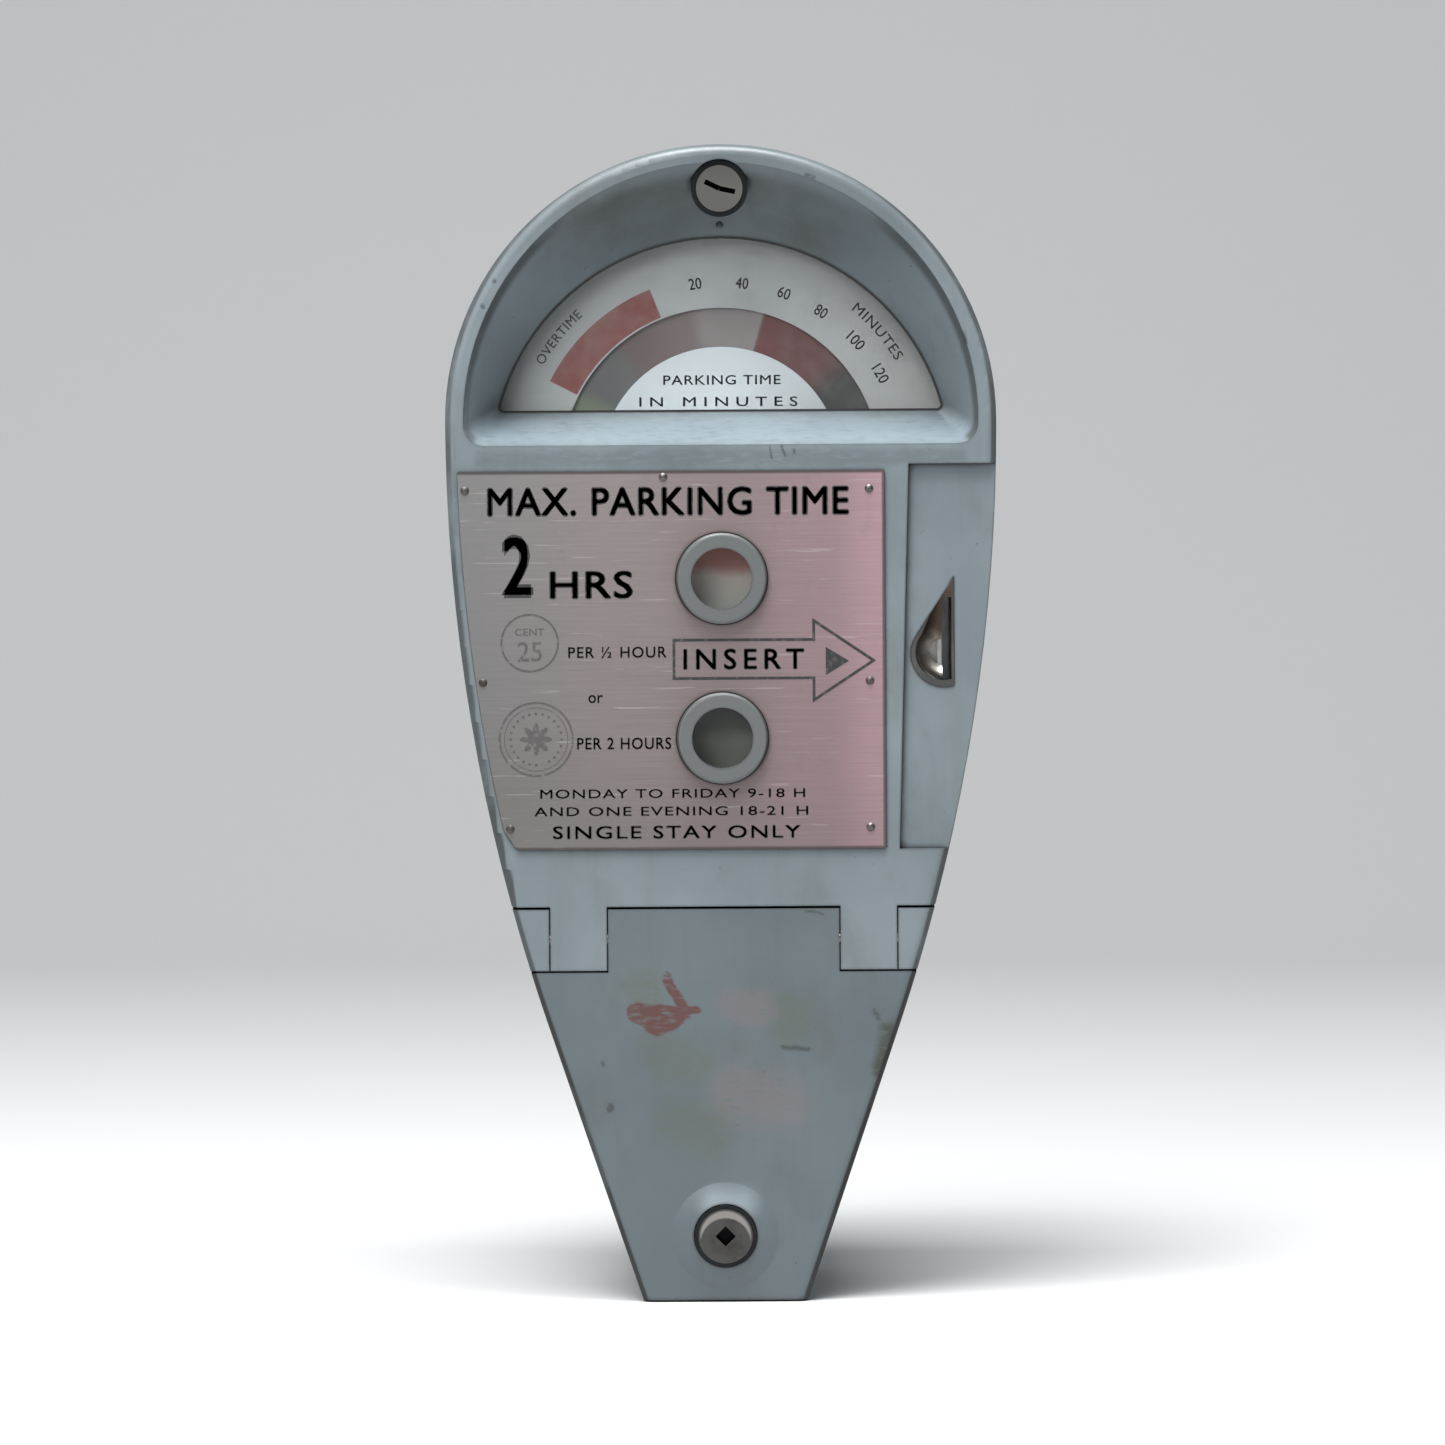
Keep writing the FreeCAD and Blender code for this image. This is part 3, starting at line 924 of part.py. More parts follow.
def movement():
    """The plates and the going train, from the barrel to the balance."""
    outline = [
        (-50, PLATE_BOTTOM),
        (50, PLATE_BOTTOM),
        (PLATE_HALF, PLATE_BOTTOM + 63),
        (PLATE_HALF, DIAL_Z + 15),
        (48, DIAL_Z + 51),
        (-48, DIAL_Z + 51),
        (-PLATE_HALF, DIAL_Z + 15),
        (-PLATE_HALF, PLATE_BOTTOM + 63),
    ]
    bearings = [rod(x, z, ARBOR_R + PIVOT_CLEAR, -100, 100) for x, z in ARBORS]
    tips = [rod(x, z, 1.5 + SCREW_CLEAR, -100, 100) for x, z in PILLARS]
    front = polygon_y(outline, FRONT_PLATE_Y, FRONT_PLATE_Y + MOVE_PLATE_T)
    shaft = rod(0, COIN_WHEEL_Z, COIN_ARBOR_R + PIVOT_CLEAR, -100, 100)
    node("front_plate", cut(front, bearings + tips + [shaft]))
    rear = polygon_y(outline, REAR_PLATE_Y, REAR_PLATE_Y + MOVE_PLATE_T)
    mounts = [rod(x, z, 1.5 + SCREW_CLEAR, -100, 100) for x, z in MOUNT_PLACES]
    node("rear_plate", cut(rear, bearings + tips + mounts))
    y0, y1 = FRONT_PLATE_Y + MOVE_PLATE_T, REAR_PLATE_Y
    pillars = []
    screws = []
    for x, z in PILLARS:
        ends = [rod(x, z, 1.5, y0 - 1, y0 + 6), rod(x, z, 1.5, y1 - 6, y1 + 1)]
        pillars.append(cut(rod(x, z, PILLAR_R, y0, y1), ends))
        screws.append(screw(x, z, FRONT_PLATE_Y, y0 + 5.5))
        screws.append(screw(x, z, REAR_PLATE_Y + MOVE_PLATE_T, y1 - 5.5))
    node("plate_pillars", group(pillars))
    node("pillar_screws", group(screws))
    node("movement_screws", group([screw(x, z, REAR_PLATE_Y, REAR_PLATE_Y + 12) for x, z in MOUNT_PLACES]))

    t, b, a2, a3, p, w = ARBORS
    phase2 = mesh_phase(t, a2, TIME_TEETH, SECOND_PINION, 0.0)
    phase_b = mesh_phase(t, b, TIME_TEETH, BARREL_TEETH, 0.0)
    phase3 = mesh_phase(a2, a3, SECOND_TEETH, THIRD_PINION, 0.0)
    gear_arbor("time_wheel", t, [(TIME_TEETH, *Y_GREAT, 0.0)], y0=DIAL_Y + DIAL_T + 0.5)
    disc = rod(*t, RING_OUT + 2, DIAL_Y + DIAL_T + 0.5, DIAL_Y + DIAL_T + 1.5)
    node("time_disc", disc.cut(rod(*t, ARBOR_R, -100, 0)))
    drum = ring(*b, ARBOR_R - 0.5, 20.5, Y_GREAT[1], Y_RATCHET[0] - 1)
    ratchet = gear_teeth(*b, RATCHET_TEETH, *Y_RATCHET, ARBOR_R - 0.5, 0.1)
    gear_arbor("spring_barrel", b, [(BARREL_TEETH, *Y_GREAT, phase_b)], [drum, ratchet])
    pinion = (SECOND_PINION, Y_GREAT[0] - 1, Y_GREAT[1] + 1.5, phase2)
    gear_arbor("second_wheel", a2, [pinion, (SECOND_TEETH, *Y_SECOND, 0.0)])
    escape = gear_teeth(*a3, ESCAPE_TEETH, *Y_ESCAPE, ARBOR_R - 0.5, 0.0, 2.0)
    pinion = (THIRD_PINION, Y_SECOND[0] - 1.5, Y_SECOND[1] + 1, phase3)
    gear_arbor("escape_wheel", a3, [pinion], [escape])
    pivot_y0, pivot_y1 = FRONT_PLATE_Y, REAR_PLATE_Y + MOVE_PLATE_T
    reach = p[1] + PALLET_REACH
    side = [(12, reach - 1.5), (2, p[1] - 2), (1, p[1] - 8)]
    anchor = [(p[0] - dx, z) for dx, z in side[::-1]] + [(p[0] - 10, reach - 0.5), (p[0], p[1] + 3)]
    anchor += [(p[0] + 10, reach - 0.5)] + [(p[0] + dx, z) for dx, z in side]
    y0, y1 = Y_ESCAPE
    hub = rod(*p, 3.5, y0 - 0.5, y1 + 0.5)
    node("pallet_lever", join([rod(*p, ARBOR_R, pivot_y0, pivot_y1), hub, polygon_y(anchor, y0, y1)]))
    y0, y1 = Y_BALANCE
    rim = ring(*w, 13.0, 15.5, y0, y1)
    arm = box(w[0] - 14, w[0] + 14, y0 + 0.5, y1 - 0.5, w[1] - 1.3, w[1] + 1.3)
    hub = rod(*w, 3.5, y0 - 0.5, y1)
    node("balance_wheel", join([rod(*w, ARBOR_R, pivot_y0, pivot_y1), rim, hub, arm]))
    corners = [(b[0] + dx, b[1] + dz) for dx, dz in ((-26, -4), (-22, 4), (-14.2, 3), (-14.0, 1))]
    click = polygon_y(corners, *Y_RATCHET)
    post = rod(b[0] - 23, b[1] - 1, 1.8, Y_RATCHET[0], REAR_PLATE_Y)
    node("winding_click", join([click, post]))

    dial = rod(0, DIAL_Z, GLASS_R + 3.6, DIAL_Y, DIAL_Y + DIAL_T)
    dial = dial.common(box(-100, 100, -100, 0, DIAL_Z - 14, 400))
    slot = sector(0, DIAL_Z, RING_IN, RING_OUT, -84, 84, DIAL_Y - 1, DIAL_Y + DIAL_T + 1)
    node("dial_plate", dial.cut(slot))
    node("dial_feet", group([rod(x, z, 2.5, DIAL_Y + DIAL_T, FRONT_PLATE_Y) for x, z in DIAL_FEET]))


front_cover()
coin_entry_insert()
cover_trim()
upper_lock()
vault_door()
rear_housing()
socket_foot()
strikes()
vault()
coin_path()
movement()
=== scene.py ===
# %% [markdown]
# # A clockwork parking meter head
#
# The model comes in as CAD nodes that already have their true shape and place. This script gives every
# node a finish, adds the thin things that a CAD model leaves out (the print on the plate and dial, and the
# hairspring), then sets up a plain studio. Everything is in metres: +Z up, -Y towards the person who pays.

# %% Load the frame
import json
import math
import bpy
import numpy as np
from mathutils import Matrix, Vector


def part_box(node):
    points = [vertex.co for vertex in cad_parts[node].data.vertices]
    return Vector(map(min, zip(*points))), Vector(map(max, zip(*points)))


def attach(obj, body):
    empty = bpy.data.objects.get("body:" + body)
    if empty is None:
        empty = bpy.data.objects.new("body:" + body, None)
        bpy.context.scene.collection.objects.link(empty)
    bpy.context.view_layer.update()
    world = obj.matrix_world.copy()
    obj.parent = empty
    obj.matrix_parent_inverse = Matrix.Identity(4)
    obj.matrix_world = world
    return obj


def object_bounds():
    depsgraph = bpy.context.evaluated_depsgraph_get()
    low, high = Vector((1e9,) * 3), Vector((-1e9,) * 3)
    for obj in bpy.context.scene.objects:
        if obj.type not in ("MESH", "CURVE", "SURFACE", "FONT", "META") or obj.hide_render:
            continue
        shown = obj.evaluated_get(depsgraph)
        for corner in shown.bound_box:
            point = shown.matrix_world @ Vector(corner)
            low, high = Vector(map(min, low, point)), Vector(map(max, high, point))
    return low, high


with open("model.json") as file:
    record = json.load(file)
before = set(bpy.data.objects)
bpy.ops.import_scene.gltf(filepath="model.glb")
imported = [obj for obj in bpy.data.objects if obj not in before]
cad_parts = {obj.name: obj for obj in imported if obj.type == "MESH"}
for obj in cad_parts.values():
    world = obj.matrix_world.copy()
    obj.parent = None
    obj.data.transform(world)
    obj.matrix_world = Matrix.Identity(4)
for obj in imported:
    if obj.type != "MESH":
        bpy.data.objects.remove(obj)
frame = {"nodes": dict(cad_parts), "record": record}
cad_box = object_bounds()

MM = 0.001
nodes = frame["nodes"]
print("nodes:", len(nodes), "box:", cad_box)


# %% [markdown]
# ## Sizes read from the frame
#
# A piece that must line up with a CAD node takes its place from that node's box, so nothing drifts when
# the model changes. The dial's centre is the time arbor's axis, and the print lies on the plate's face.

# %% Read the places
def box_of(name):
    """A node's lowest and highest corners, in metres."""
    low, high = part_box(name)
    return [float(v) for v in low], [float(v) for v in high]


disc_low, disc_high = box_of("time_disc")
DIAL_X = (disc_low[0] + disc_high[0]) / 2
DIAL_Z = (disc_low[2] + disc_high[2]) / 2
plate_low, plate_high = box_of("instruction_plate")
DIAL_FACE = box_of("dial_plate")[0][1]
PLATE_FACE = plate_low[1]
print("dial centre", DIAL_X, DIAL_Z, "plate face", PLATE_FACE)


# %% [markdown]
# ## Small helpers for node trees
#
# A material is a graph. These helpers keep each step of the graph on one line: make a node, set its
# inputs by name, and link it. They read like a recipe instead of like wiring.

# %% Node helpers
def add(tree, kind, **inputs):
    """A new node of a kind, its named inputs set to numbers or linked to sockets."""
    made = tree.nodes.new("ShaderNode" + kind)
    for key, value in inputs.items():
        put(tree, made, key, value)
    return made


def put(tree, made, key, value):
    """Sets one input, found by name or by number, to a value or a link."""
    numbered = key[0] == "_" and key[1:].isdigit()
    socket = made.inputs[int(key[1:]) if numbered else key.replace("_", " ")]
    if isinstance(value, bpy.types.NodeSocket):
        tree.links.new(value, socket)
    else:
        socket.default_value = value


def math_node(tree, operation, a, b=None, clamp=False):
    """One arithmetic step on numbers or sockets."""
    made = tree.nodes.new("ShaderNodeMath")
    made.operation = operation
    made.use_clamp = clamp
    put(tree, made, "_0", a)
    if b is not None:
        put(tree, made, "_1", b)
    return made.outputs[0]


def plus(tree, a, b, clamp=False):
    """a + b"""
    return math_node(tree, "ADD", a, b, clamp)


def minus(tree, a, b):
    """a - b"""
    return math_node(tree, "SUBTRACT", a, b)


def times(tree, a, b):
    """a * b"""
    return math_node(tree, "MULTIPLY", a, b)


def flip(tree, a):
    """1 - a, which turns a mask inside out."""
    return minus(tree, 1.0, a)


def reach_of(tree, x, z):
    """How long the arrow (x, z) is: the root of the sum of the squares."""
    return math_node(tree, "SQRT", plus(tree, times(tree, x, x), times(tree, z, z)))


# %% Colour and pattern helpers
def mix_colour(tree, factor, a, b, blend="MIX"):
    """Colour a becomes colour b as the factor goes from 0 to 1."""
    made = tree.nodes.new("ShaderNodeMix")
    made.data_type = "RGBA"
    made.blend_type = blend
    for key, value in ((0, factor), (6, a), (7, b)):
        if isinstance(value, bpy.types.NodeSocket):
            tree.links.new(value, made.inputs[key])
        else:
            made.inputs[key].default_value = value
    return made.outputs[2]


def ramp(tree, factor, low, high):
    """A soft step: 0 below low, 1 above high, smooth between."""
    made = tree.nodes.new("ShaderNodeMapRange")
    made.interpolation_type = "SMOOTHSTEP"
    put(tree, made, "_0", factor)
    made.inputs[1].default_value = low
    made.inputs[2].default_value = high
    return made.outputs[0]


def noise(tree, scale, detail=4.0, rough=0.55, stretch=(1, 1, 1)):
    """A noise value between 0 and 1 on object coordinates, stretched by a scale for each axis."""
    place = tree.nodes.new("ShaderNodeTexCoord")
    mapping = tree.nodes.new("ShaderNodeMapping")
    tree.links.new(place.outputs["Object"], mapping.inputs["Vector"])
    mapping.inputs["Scale"].default_value = stretch
    where = mapping.outputs[0]
    return add(tree, "TexNoise", Vector=where, Scale=scale, Detail=detail, Roughness=rough).outputs[0]


def axes(tree):
    """Object coordinates as three separate sockets."""
    place = tree.nodes.new("ShaderNodeTexCoord")
    split = tree.nodes.new("ShaderNodeSeparateXYZ")
    tree.links.new(place.outputs["Object"], split.inputs[0])
    return split.outputs[0], split.outputs[1], split.outputs[2]


def rgba(r, g, b):
    """An opaque colour."""
    return (r, g, b, 1.0)


def grey(tree, value):
    """A number as a grey colour."""
    made = tree.nodes.new("ShaderNodeCombineColor")
    for n in range(3):
        tree.links.new(value, made.inputs[n])
    return made.outputs[0]


def position(tree, socket, low, high):
    """Where a coordinate lies between low and high, from 0 to 1."""
    made = tree.nodes.new("ShaderNodeMapRange")
    tree.links.new(socket, made.inputs[0])
    made.inputs[1].default_value = low
    made.inputs[2].default_value = high
    return made.outputs[0]


def colour_run(tree, factor, stops):
    """A colour ramp from (place, colour) stops."""
    made = tree.nodes.new("ShaderNodeValToRGB")
    made.color_ramp.interpolation = "EASE"
    elements = made.color_ramp.elements
    for n, (place, tint) in enumerate(stops):
        stop = elements[n] if n < 2 else elements.new(place)
        stop.position = place
        stop.color = tint
    tree.links.new(factor, made.inputs[0])
    return made.outputs[0]


print("helpers ready")


# %% [markdown]
# ## Effects that many finishes share
#
# Weathering, brushing and soft bumps return in almost every material. Each is a node group, built once,
# with named inputs and outputs, so one change mends them all. A group gives out only colours, masks
# and heights; the shader itself stays in the material, where an exporter can read it.

# %% Group maker
def group(name, inputs, outputs):
    """An empty shader group with float or colour sockets. inputs are (name, value) pairs."""
    tree = bpy.data.node_groups.new(name, "ShaderNodeTree")
    for label, value in inputs:
        kind = "NodeSocketColor" if isinstance(value, tuple) else "NodeSocketFloat"
        socket = tree.interface.new_socket(label, in_out="INPUT", socket_type=kind)
        socket.default_value = value
    for label, kind in outputs:
        tree.interface.new_socket(label, in_out="OUTPUT", socket_type="NodeSocket" + kind)
    return tree, tree.nodes.new("NodeGroupInput").outputs, tree.nodes.new("NodeGroupOutput").inputs


def use(tree, made_group, **inputs):
    """Places a group in a material and returns its outputs."""
    made = tree.nodes.new("ShaderNodeGroup")
    made.node_tree = made_group
    for key, value in inputs.items():
        put(tree, made, key, value)
    return made.outputs


# %% [markdown]
# ### Edge wear
#
# Paint wears off where hands and rain reach, along sharp edges. The Bevel node gives the normal that a
# rounded edge would have. Where it differs from the real normal there is an edge, and noise breaks the
# line up so that it looks rubbed instead of drawn.

# %% Edge wear group
def build_edge_wear():
    tree, given, out = group("edge_wear", [("Width", 0.0012), ("Breakup", 0.5)], [("Mask", "Float")])
    bevel = tree.nodes.new("ShaderNodeBevel")
    bevel.samples = 4
    tree.links.new(given["Width"], bevel.inputs["Radius"])
    geometry = tree.nodes.new("ShaderNodeNewGeometry")
    dot = tree.nodes.new("ShaderNodeVectorMath")
    dot.operation = "DOT_PRODUCT"
    tree.links.new(bevel.outputs[0], dot.inputs[0])
    tree.links.new(geometry.outputs["Normal"], dot.inputs[1])
    edge = ramp(tree, flip(tree, dot.outputs["Value"]), 0.02, 0.22)
    rub = noise(tree, 160.0, 6.0, 0.65)
    rub = ramp(tree, plus(tree, rub, times(tree, edge, given["Breakup"])), 0.62, 0.82)
    tree.links.new(times(tree, rub, edge), out["Mask"])
    return tree


EDGE_WEAR = build_edge_wear()


# %% [markdown]
# ### Dirt and painted shade in corners
#
# Rain washes the open faces and leaves its dirt where two castings meet, round the plate and at the foot
# of every boss, and a painted shade darkens the same places. The Ambient Occlusion node says how closed
# in a point is, so it finds those places.

# %% Corner dirt and painted shade group
def build_corner_dirt():
    tree, given, out = group("corner_dirt_and_shade", [("Reach", 0.003)], [("Mask", "Float")])
    open_sky = tree.nodes.new("ShaderNodeAmbientOcclusion")
    open_sky.samples = 6
    tree.links.new(given["Reach"], open_sky.inputs["Distance"])
    # The more closed in a point is, the more dirt and painted shade it gets.
    closed = flip(tree, open_sky.outputs["AO"])
    patch = noise(tree, 90.0, 5.0, 0.6)
    closed = plus(tree, closed, times(tree, minus(tree, patch, 0.5), 0.25))
    tree.links.new(ramp(tree, closed, 0.16, 0.52), out["Mask"])
    return tree


CORNER_DIRT_AND_SHADE = build_corner_dirt()


# %% [markdown]
# ### Street dirt and faded paint
#
# Old enamel is never one colour. It chalks in large pale clouds, holds grime in streaks that run down
# with the rain, and is peppered with chips. Three noises at three sizes give the three masks.

# %% Weather group
def build_weather():
    tree, given, out = group(
        "weather",
        [
            ("Paint", rgba(0.2, 0.25, 0.27)),
            ("Grime", rgba(0.08, 0.08, 0.07)),
            ("Amount", 0.5),
            ("Chips", 0.5),
        ],
        [("Colour", "Color"), ("Roughness", "Float"), ("Height", "Float")],
    )
    cloud = ramp(tree, noise(tree, 18.0, 5.0), 0.3, 0.72)
    faded = mix_colour(tree, 1.0, given["Paint"], rgba(1.22, 1.2, 1.18), "MULTIPLY")
    colour = mix_colour(tree, cloud, given["Paint"], faded)
    streak = ramp(tree, noise(tree, 1.0, 6.0, 0.6, stretch=(90, 90, 7)), 0.5, 0.8)
    patch = ramp(tree, noise(tree, 34.0, 6.0, 0.62, stretch=(1, 1, 0.6)), 0.48, 0.74)
    soil = math_node(tree, "MAXIMUM", times(tree, streak, 0.55), patch)
    soil = times(tree, soil, given["Amount"])
    colour = mix_colour(tree, times(tree, soil, 0.55), colour, given["Grime"])
    fine = ramp(tree, noise(tree, 420.0, 3.0), 0.68, 0.74)
    spots = ramp(tree, noise(tree, 60.0, 2.0), 0.55, 0.62)
    chip = times(tree, times(tree, fine, spots), given["Chips"])
    colour = mix_colour(tree, chip, colour, rgba(0.05, 0.045, 0.04))
    tree.links.new(colour, out["Colour"])
    rough = plus(tree, times(tree, cloud, 0.12), times(tree, soil, 0.3))
    tree.links.new(plus(tree, rough, 0.3), out["Roughness"])
    peel = noise(tree, 700.0, 2.0)
    lumps = noise(tree, 55.0, 3.0)
    height = plus(tree, times(tree, peel, 0.25), times(tree, lumps, 0.9))
    tree.links.new(minus(tree, height, times(tree, chip, 0.5)), out["Height"])
    return tree


WEATHER = build_weather()


# %% [markdown]
# ### Brushed grain
#
# Rolled or brushed metal has fine scratches that all run one way. Noise stretched far along one axis
# gives them, and a second, sparser noise gives the few deep ones.

# %% Brushed group
def build_brushed():
    tree, given, out = group("brushed", [("Depth", 0.5)], [("Grain", "Float"), ("Scratch", "Float")])
    grain = noise(tree, 1.0, 4.0, 0.7, stretch=(25, 400, 1600))
    deep = ramp(tree, noise(tree, 1.0, 2.0, stretch=(40, 300, 900)), 0.66, 0.72)
    tree.links.new(times(tree, grain, given["Depth"]), out["Grain"])
    tree.links.new(deep, out["Scratch"])
    return tree


BRUSHED = build_brushed()
print("groups:", [g.name for g in bpy.data.node_groups])


# %% [markdown]
# ## Materials
#
# Each finish starts from a Principled shader. The helper makes the material and its bump, and the body
# of each function says what is special about that finish.

# %% Material base
def finish(name, **sockets):
    """A new material with a Principled shader, whose plain inputs are set by name.

    Returns the material, its tree and its shader.
    """
    material = bpy.data.materials.new(name)
    material.use_nodes = True
    tree = material.node_tree
    shader = tree.nodes["Principled BSDF"]
    for key, value in sockets.items():
        put(tree, shader, key, value)
    return material, tree, shader


def surface(tree, shader, colour, rough):
    """Links a colour and a roughness to the shader."""
    put(tree, shader, "Base Color", colour)
    put(tree, shader, "Roughness", rough)


def bump(tree, shader, height, distance, strength=1.0):
    """Links a height to the shader's normal as a bump of a real depth in metres."""
    made = tree.nodes.new("ShaderNodeBump")
    made.inputs["Strength"].default_value = strength
    made.inputs["Distance"].default_value = distance
    tree.links.new(height, made.inputs["Height"])
    tree.links.new(made.outputs[0], shader.inputs["Normal"])


# %% [markdown]
# ### Casting paint
#
# The casing is a die casting under several coats of grey-blue enamel. It is chalky, darker where hands
# and water leave grime, and rubbed to dark metal on its edges. A mark on it could be a picture, but a
# mask worked out from distances is sharp at any size: a capsule is all that lies within a radius of a
# short line, and a few of them together make a scribble or a stain.

# %% Capsule mask
def capsule(tree, x, z, start, end, radius, soft):
    """1 within a radius of the line from start to end in the XZ plane, falling to 0 over soft.

    How far along the line a point lies is its dot product with the line over the line's squared length,
    held between 0 and 1. The gap is the distance from that place on the line.
    """
    (ax, az), (bx, bz) = start, end
    dx, dz = bx - ax, bz - az
    square = dx * dx + dz * dz or 1.0
    px, pz = minus(tree, x, ax), minus(tree, z, az)
    along = plus(tree, times(tree, px, dx / square), times(tree, pz, dz / square))
    along = math_node(tree, "MINIMUM", math_node(tree, "MAXIMUM", along, 0.0), 1.0)
    gap = reach_of(tree, minus(tree, px, times(tree, along, dx)), minus(tree, pz, times(tree, along, dz)))
    return flip(tree, ramp(tree, gap, radius, radius + soft))


def wobble(tree, x, z, scale, reach):
    """X and Z pushed about by noise, so that a plain shape gets a ragged edge."""
    across = minus(tree, noise(tree, scale, 5.0), 0.5)
    up = minus(tree, noise(tree, scale * 1.3, 5.0, stretch=(1, 1, 1.3)), 0.5)
    return plus(tree, x, times(tree, across, reach)), plus(tree, z, times(tree, up, reach))


# %% Marks over the paint
HOLE_STRETCH = (0.45, 1, 1.7)


def marked(tree, colour, marks):
    """The colour with marks over it. A mark is (colour, strength, raggedness, deepest Y, capsules)."""
    for tint, strength, ragged, deepest, capsules in marks:
        x, depth, z = axes(tree)
        if ragged:
            x, z = wobble(tree, x, z, 120.0, ragged)
        mask = 0.0
        for start, end, radius, soft in capsules:
            mask = math_node(tree, "MAXIMUM", mask, capsule(tree, x, z, start, end, radius, soft))
        if ragged:
            holes = ramp(tree, noise(tree, 420.0, 4.0, stretch=HOLE_STRETCH), 0.24, 0.52)
            mask = times(tree, mask, holes)
        outside = flip(tree, ramp(tree, depth, deepest - MM / 2, deepest + MM / 2))
        mask = times(tree, times(tree, mask, outside), strength)
        colour = mix_colour(tree, mask, colour, tint)
    return colour


# %% [markdown]
# Grime and painted shade also follow the shape. A painted shade lines the rounded front edges at the
# sides, where the surface turns away, so a mask reads the normal. Soot from the street gathers high up,
# and a painted shade darkens most of all under the hood's roof, so a mask reads height and depth.

# %% Grime and painted shade that follow the shape
def front_edge(tree, strength):
    """Painted shade on the rounded front edges at the sides, where the normal has turned from the front
    towards X.
    """
    facing = tree.nodes.new("ShaderNodeNewGeometry").outputs["Normal"]
    split = tree.nodes.new("ShaderNodeSeparateXYZ")
    tree.links.new(facing, split.inputs[0])
    # Painted shade where the surface turns to the side.
    sideways = ramp(tree, math_node(tree, "ABSOLUTE", split.outputs[0]), 0.36, 0.60)
    _, depth, _ = axes(tree)
    near = flip(tree, ramp(tree, depth, -0.062, -0.059))
    patch = ramp(tree, noise(tree, 70.0, 4.0, stretch=(1, 1, 0.4)), 0.15, 0.5)
    return times(tree, times(tree, times(tree, sideways, near), patch), strength)


def roof_soot(tree):
    """Street soot over the top of the rim and under the roof of the hood, with a painted shade that darkens
    the roof more.
    """
    _, depth, z = axes(tree)
    cloud = ramp(tree, noise(tree, 45.0, 5.0), 0.2, 0.8)
    high = times(tree, ramp(tree, z, 0.325, 0.372), plus(tree, times(tree, cloud, 0.4), 0.6))
    # The mask grows deeper in the hood: a painted shade under its roof.
    inside = plus(tree, times(tree, ramp(tree, depth, -0.0635, -0.058), 0.50), 0.44)
    return times(tree, high, inside)


# %% Casting paint
BARE_EDGE = rgba(0.042, 0.046, 0.050)
# Soot, and a painted shade under the hood's roof.
SOOT_AND_SHADE = rgba(0.030, 0.033, 0.029)
# Dirt with painted shade in corners, and painted shade on the rounded side edges.
SEAM_DIRT_AND_SHADE = rgba(0.016, 0.016, 0.015)


# outline is the strength of the painted shade on the rounded side edges.
def casting_paint(name, paint, amount, chips, marks=(), outline=0.7):
    """Weathered enamel, then its marks, its worn edges, soot with a painted shade under the hood, corner
    dirt with painted shade, and painted shade on the rounded front edges.
    """
    material, tree, shader = finish(name)
    worn = use(tree, WEATHER, Paint=paint, Amount=amount, Chips=chips)
    edge = use(tree, EDGE_WEAR, Width=0.0014, Breakup=0.45)["Mask"]
    colour = marked(tree, worn["Colour"], marks)
    colour = mix_colour(tree, times(tree, edge, 0.82), colour, BARE_EDGE)
    # Soot on the rim's top and a painted shade under the hood's roof.
    colour = mix_colour(tree, roof_soot(tree), colour, SOOT_AND_SHADE)
    # Corner dirt with painted shade, then painted shade on the rounded side edges.
    dirt = use(tree, CORNER_DIRT_AND_SHADE, Reach=0.0032)["Mask"]
    dirt = math_node(tree, "MAXIMUM", times(tree, dirt, 0.85), front_edge(tree, outline))
    colour = mix_colour(tree, dirt, colour, SEAM_DIRT_AND_SHADE)
    surface(tree, shader, colour, plus(tree, worn["Roughness"], times(tree, dirt, 0.45), clamp=True))
    bump(tree, shader, worn["Height"], 0.00025, 0.6)
    return material


# %% [markdown]
# The door has been scribbled on in red and wiped, so it carries the scribble, pink and green smears,
# dark spots and a stain at its right edge. It also carries a painted highlight on the lock's boss. Each
# capsule below is its two ends as (X, Z), its radius and its softness. A mark stops at a depth, so that
# it stays on the outside.

# %% Marks on the door
FACE_DEPTH = -0.0590
LEDGE_DEPTH = -0.0365
SCRIBBLE = (rgba(0.085, 0.018, 0.013), 0.82, 0.004, FACE_DEPTH, [
    ((-0.0295, 0.0960), (-0.0215, 0.0905), 0.0022, 0.0012),
    ((-0.0215, 0.0905), (-0.0145, 0.0950), 0.0020, 0.0012),
    ((-0.0290, 0.0965), (-0.0120, 0.0955), 0.0014, 0.0012),
    ((-0.0188, 0.1070), (-0.0130, 0.0960), 0.0013, 0.0008),
    ((-0.0140, 0.0955), (-0.0090, 0.0962), 0.0009, 0.0009),
])
PINK_SMEAR = (rgba(0.165, 0.128, 0.132), 0.42, 0.010, FACE_DEPTH, [
    ((0.002, 0.0690), (0.020, 0.0655), 0.003, 0.011),
    ((0.002, 0.0985), (0.012, 0.0970), 0.002, 0.007),
])
GREEN_SMEAR = (rgba(0.085, 0.098, 0.070), 0.45, 0.010, FACE_DEPTH, [
    ((-0.027, 0.1040), (-0.026, 0.1010), 0.003, 0.006),
    ((-0.020, 0.0820), (-0.013, 0.0790), 0.004, 0.008),
    ((-0.016, 0.0600), (-0.006, 0.0560), 0.003, 0.010),
    ((0.0225, 0.0960), (0.0220, 0.0890), 0.002, 0.006),
])
